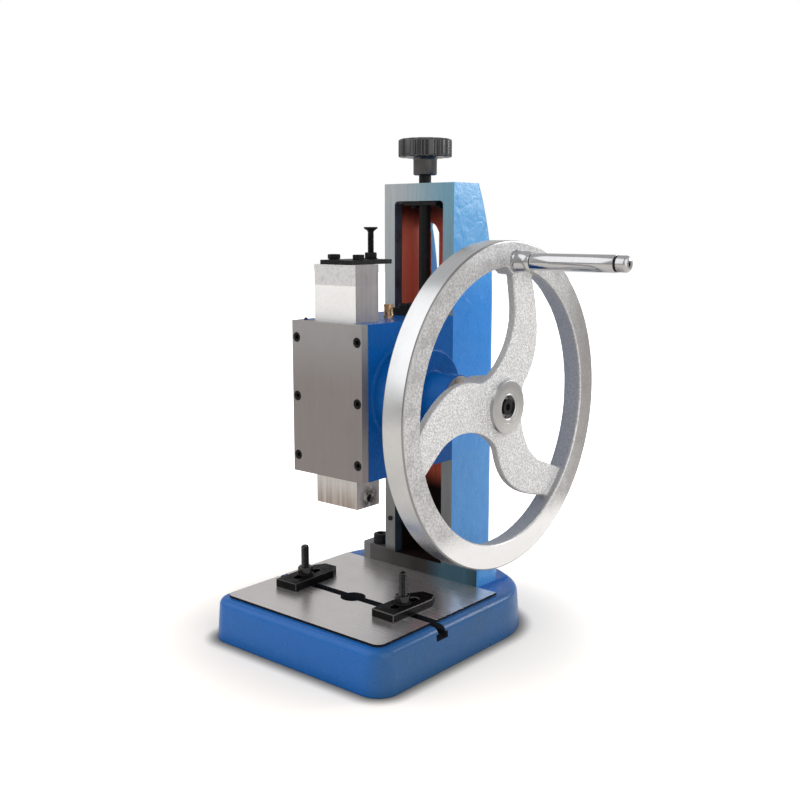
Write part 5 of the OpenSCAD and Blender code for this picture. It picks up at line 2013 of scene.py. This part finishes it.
    def cap(self) -> Piece:
        """The screw that closes the handle, with its socket.

        Returns:
            The piece.
        """
        x, key = self.spindle_end + self.cap_gap, hexagon(self.cap_key)
        profile = [(x - 14.0, 0.0), (x - 14.0, 2.4), (x, 2.4), (x, 6.3), (x + 0.3, 6.6), (x + 6.6, 6.6),
                   (x + 7.4, 6.45), (x + 8.4, 5.9), (x + 9.2, 5.0), (x + 9.6, 4.2),
                   (x + 9.6, lambda a: key(a) * 1.1), (x + 9.3, key), (x + 5.8, key), (x + 5.2, 0.0)]
        return Solid().turn(profile, Axis.X, self.handle, 64).build("handle_cap_piece")

    def rim_slot(self, centre: Vector, normal: Vector) -> int:
        """The finish of the rim's faces: 0 turned outside, 1 cast inside, 2 flat, 3 the edges between.

        Args:
            centre: its centre, in millimetres.
            normal: the way it faces.

        Returns:
            The finish's number.
        """
        away = math.hypot(centre.y - self.centre[0], centre.z - self.centre[1])
        if away < self.inner_rear + 0.9 and normal.x < 0.5:
            return 1
        if abs(normal.x) > 0.99:
            return 2
        # Painted shade and highlight: the outer edges take the darker edge finish as a shade line, and the
        # inner edges the bright turned finish as a highlight.
        return 3 if abs(normal.x) > 0.1 and away > self.radius - 2.0 else 0

    def make(self) -> None:
        """Builds and dresses the wheel and shaft."""
        finishes = [Finishes.rim, Finishes.rim_inside, Finishes.rim_face, Finishes.rim_edge_shade]
        self.keep(smooth(paint(self.rim(), finishes, self.rim_slot), 20.0), slot="polished_steel")
        self.keep(smooth(paint(self.spider(), [Finishes.wheel]), 50.0), "handwheel")
        self.keep(smooth(paint(self.hub_face(), [Finishes.hub])), slot="polished_steel")
        self.keep(smooth(paint(self.spindle(), [Finishes.handle])), "handle_spindle")
        self.keep(smooth(paint(self.cap(), [Finishes.handle])), "handle_cap")
        self.refine("pinion_shaft", Finishes.bright, 0.25)
        for node, finish in (("shaft_washer", Finishes.ways), ("shaft_screw", Finishes.black),
                             ("wheel_key", Finishes.ways), ("hub_washer", Finishes.ways),
                             ("hub_screw", Finishes.black), ("handle_ring", Finishes.black)):
            self.refine(node, finish, 0.2)


@dataclass
class Handle(Assembly):
    """The polished sleeve that turns in the hand."""

    body: str = "handle"
    x: Flat = (173.8, 250.3)
    centre: Flat = (-10.3, 361.7)
    radius: float = 7.0
    bore: float = 4.55

    def make(self) -> None:
        """Builds and dresses the sleeve."""
        low, high = self.x
        r = self.radius
        profile = [(low, self.bore), (low, r - 0.9), (low + 0.2, r - 0.35), (low + 0.8, r), (low + 20.0, r),
                   (low + 40.0, r), (high - 20.0, r), (high - 0.8, r), (high - 0.2, r - 0.35),
                   (high, r - 0.9), (high, self.bore)]
        piece = Solid().turn(profile, Axis.X, self.centre, 72, tube=True).build("handle_sleeve_piece")
        self.keep(smooth(paint(piece, [Finishes.handle])), "handle_sleeve")


@dataclass
class ClampPart(Assembly):
    """What every loose part of a clamp knows: its side and where its stud stands."""

    side: str = "left"
    stud: Flat = (-64.0, -42.0)
    body: str = field(init=False, default="")
    role: str = field(init=False, default="")

    def __post_init__(self) -> None:
        """Names the body after the part's role and side."""
        self.body = f"{self.role}_{self.side}"


@dataclass
class TBolt(ClampPart):
    """A stud with a T head in the slot."""

    role: str = field(init=False, default="bolt")
    head_half: float = 7.4
    head_reach: float = 7.7
    head_z: Flat = (29.3, 34.7)
    top: float = 81.0
    radius: float = 4.0
    pitch: float = 1.25
    depth: float = 0.55
    plain: float = 46.0
    thread_start: float = 46.4

    def make(self) -> None:
        """Builds and dresses the bolt."""
        x, y = self.stud
        low, high = self.head_z
        r, root = self.radius, self.radius - self.depth
        half, reach = self.head_half, self.head_reach
        head = Solid().box((x - half, y - reach, low), (x + half, y + reach, high)).build("head")
        profile = [(high - 1.0, 0.0), (high - 1.0, r), (self.plain, r), (self.plain + 0.6, root),
                   (self.top - 1.0, root), (self.top - 0.6, root - 0.1), (self.top, root - 1.0),
                   (self.top, 0.0)]
        core = join(soften(head, 0.5), Solid().turn(profile, Axis.Z, self.stud, 40).build("shank"))
        piece = threaded(f"t_bolt_{self.side}_piece", core, Finishes.stud, r, self.depth, self.pitch,
                         (x, y, self.thread_start), self.top - 1.6 - self.thread_start)
        self.keep(smooth(piece), f"t_bolt_{self.side}")


@dataclass
class Strap(ClampPart):
    """A flat slotted clamp strap with a pointed nose."""

    role: str = field(init=False, default="strap")

    def make(self) -> None:
        """Dresses the strap."""
        # The edge roundings take the lighter black of a painted highlight.
        self.refine(f"strap_{self.side}", Finishes.strap, 0.9, 3, Finishes.wear_and_highlight)


@dataclass
class ClampWasher(ClampPart):
    """The round washer on a strap."""

    role: str = field(init=False, default="swivel")
    z: Flat = (51.12, 52.72)
    bore: float = 4.05
    radius: float = 8.0

    def make(self) -> None:
        """Builds and dresses the washer."""
        (low, high), r = self.z, self.radius
        profile = [(low, self.bore), (low, r - 0.2), (low + 0.25, r), (high - 0.35, r), (high, r - 0.4),
                   (high, self.bore)]
        piece = Solid().turn(profile, Axis.Z, self.stud, 64, tube=True).build(f"washer_{self.side}_piece")
        self.keep(smooth(paint(piece, [Finishes.black])), f"clamp_washer_{self.side}")


@dataclass
class ClampNut(ClampPart):
    """The hexagon nut on a stud."""

    role: str = field(init=False, default="nut")
    z: Flat = (52.74, 59.54)
    bore: float = 4.05
    corner: float = 7.5

    def make(self) -> None:
        """Builds and dresses the nut."""
        piece = nut(self.bore, self.corner, *self.z, self.stud).build(f"nut_{self.side}_piece")
        self.keep(smooth(paint(piece, [Finishes.stud])), f"clamp_nut_{self.side}")


# Studio


@dataclass(frozen=True)
class Lamp:
    """A square area lamp: where it stands and points, its side in millimetres and its power in watts."""

    name: str
    place: Point
    target: Point
    size: float
    power: float

    def make(self) -> None:
        """Puts the lamp into the scene."""
        data = bpy.data.lights.new(self.name, "AREA")
        data.size = self.size * MM
        data.energy = self.power
        lamp = bpy.data.objects.new(self.name, data)
        lamp.location = [c * MM for c in self.place]
        aim = Vector(self.target) - Vector(self.place)
        lamp.rotation_euler = aim.to_track_quat("-Z", "Y").to_euler()
        bpy.context.scene.collection.objects.link(lamp)


@dataclass
class Studio:
    """Floor, light and camera."""

    camera_place: Point = (645.45, -735.13, 390.62)
    camera_turn: Point = (80.51, 0.0, 40.26)
    lens: float = 46.89
    floor_half: float = 6000.0
    lamps: tuple[Lamp, ...] = (Lamp("key", (-900.0, -1300.0, 1500.0), (0.0, 0.0, 200.0), 2400.0, 19.0),
                               Lamp("fill", (1700.0, -300.0, 900.0), (0.0, 0.0, 220.0), 2000.0, 13.0),
                               Lamp("back", (700.0, 1100.0, 700.0), (0.0, 0.0, 300.0), 500.0, 5.0))
    strength: float = 0.62
    tones: tuple[Flat, ...] = ((0.0, 0.55), (0.44, 0.45), (0.52, 0.70), (0.62, 0.95), (1.0, 1.0))

    def world(self) -> None:
        """A white room for the camera, with a soft gradient for light and reflections."""
        world = bpy.data.worlds.new("studio")
        world.use_nodes = True
        room = Tree(world.node_tree)
        coords = room.node("ShaderNodeTexCoord").outputs["Generated"]
        up = room.node("ShaderNodeSeparateXYZ", {0: coords}).outputs["Z"]
        fit = room.node("ShaderNodeMapRange", {"Value": up, "From Min": -1.0})
        ramp = room.node("ShaderNodeValToRGB", {0: fit.outputs[0]})
        while len(ramp.color_ramp.elements) < len(self.tones):
            ramp.color_ramp.elements.new(0.5)
        for element, (place, tone) in zip(ramp.color_ramp.elements, self.tones):
            element.position = place
            element.color = (tone, tone, tone * 1.01, 1.0)
        soft = room.node("ShaderNodeBackground", {"Color": ramp.outputs[0], "Strength": self.strength})
        white = room.node("ShaderNodeBackground", {"Color": (1.0, 1.0, 1.0), "Strength": 1.0})
        seen = room.node("ShaderNodeLightPath").outputs["Is Camera Ray"]
        mixed = room.node("ShaderNodeMixShader", {0: seen, 1: soft.outputs[0], 2: white.outputs[0]})
        room.node("ShaderNodeOutputWorld", {0: mixed.outputs[0]})
        bpy.context.scene.world = world

    def make(self) -> None:
        """Builds the studio."""
        h = self.floor_half * MM
        floor = link("floor", bpy.data.meshes.new("floor"))
        floor.data.from_pydata([(-h, -h, 0.0), (h, -h, 0.0), (h, h, 0.0), (-h, h, 0.0)], [], [(0, 1, 2, 3)])
        paint(floor, [Finishes.floor])
        self.world()
        for lamp in self.lamps:
            lamp.make()
        data = bpy.data.cameras.new("camera")
        data.lens = self.lens
        data.sensor_width = 36.0
        data.clip_end = 50.0
        camera = bpy.data.objects.new("camera", data)
        camera.location = [c * MM for c in self.camera_place]
        camera.rotation_euler = [math.radians(a) for a in self.camera_turn]
        bpy.context.scene.collection.objects.link(camera)
        bpy.context.scene.camera = camera
        bpy.context.scene.view_settings.view_transform = "Standard"


SLOTS = {part["node"]: part["material_slot"] for part in frame["record"]["subparts"]}
STUDS = (("left", (-64.0, -42.0)), ("right", (61.5, -42.0)))
RECIPES = {"rows": screw_rows(), "threads": threads(), "revolved": revolved(), "fluted": fluted()}


def main() -> None:
    """Builds the press, part by part, and its studio."""
    logging.basicConfig(level=logging.INFO, format="%(message)s")
    single = (Base, Column, LiftScrew, Head, Ram, StopScrew, ToolScrew, Wheel, Handle)
    parts: list[Assembly] = [kind() for kind in single]
    for side, stud in STUDS:
        parts += [kind(side, stud) for kind in (TBolt, Strap, ClampWasher, ClampNut)]
    for part in parts:
        part.make()
    Studio().make()


if __name__ == "__main__":
    main()
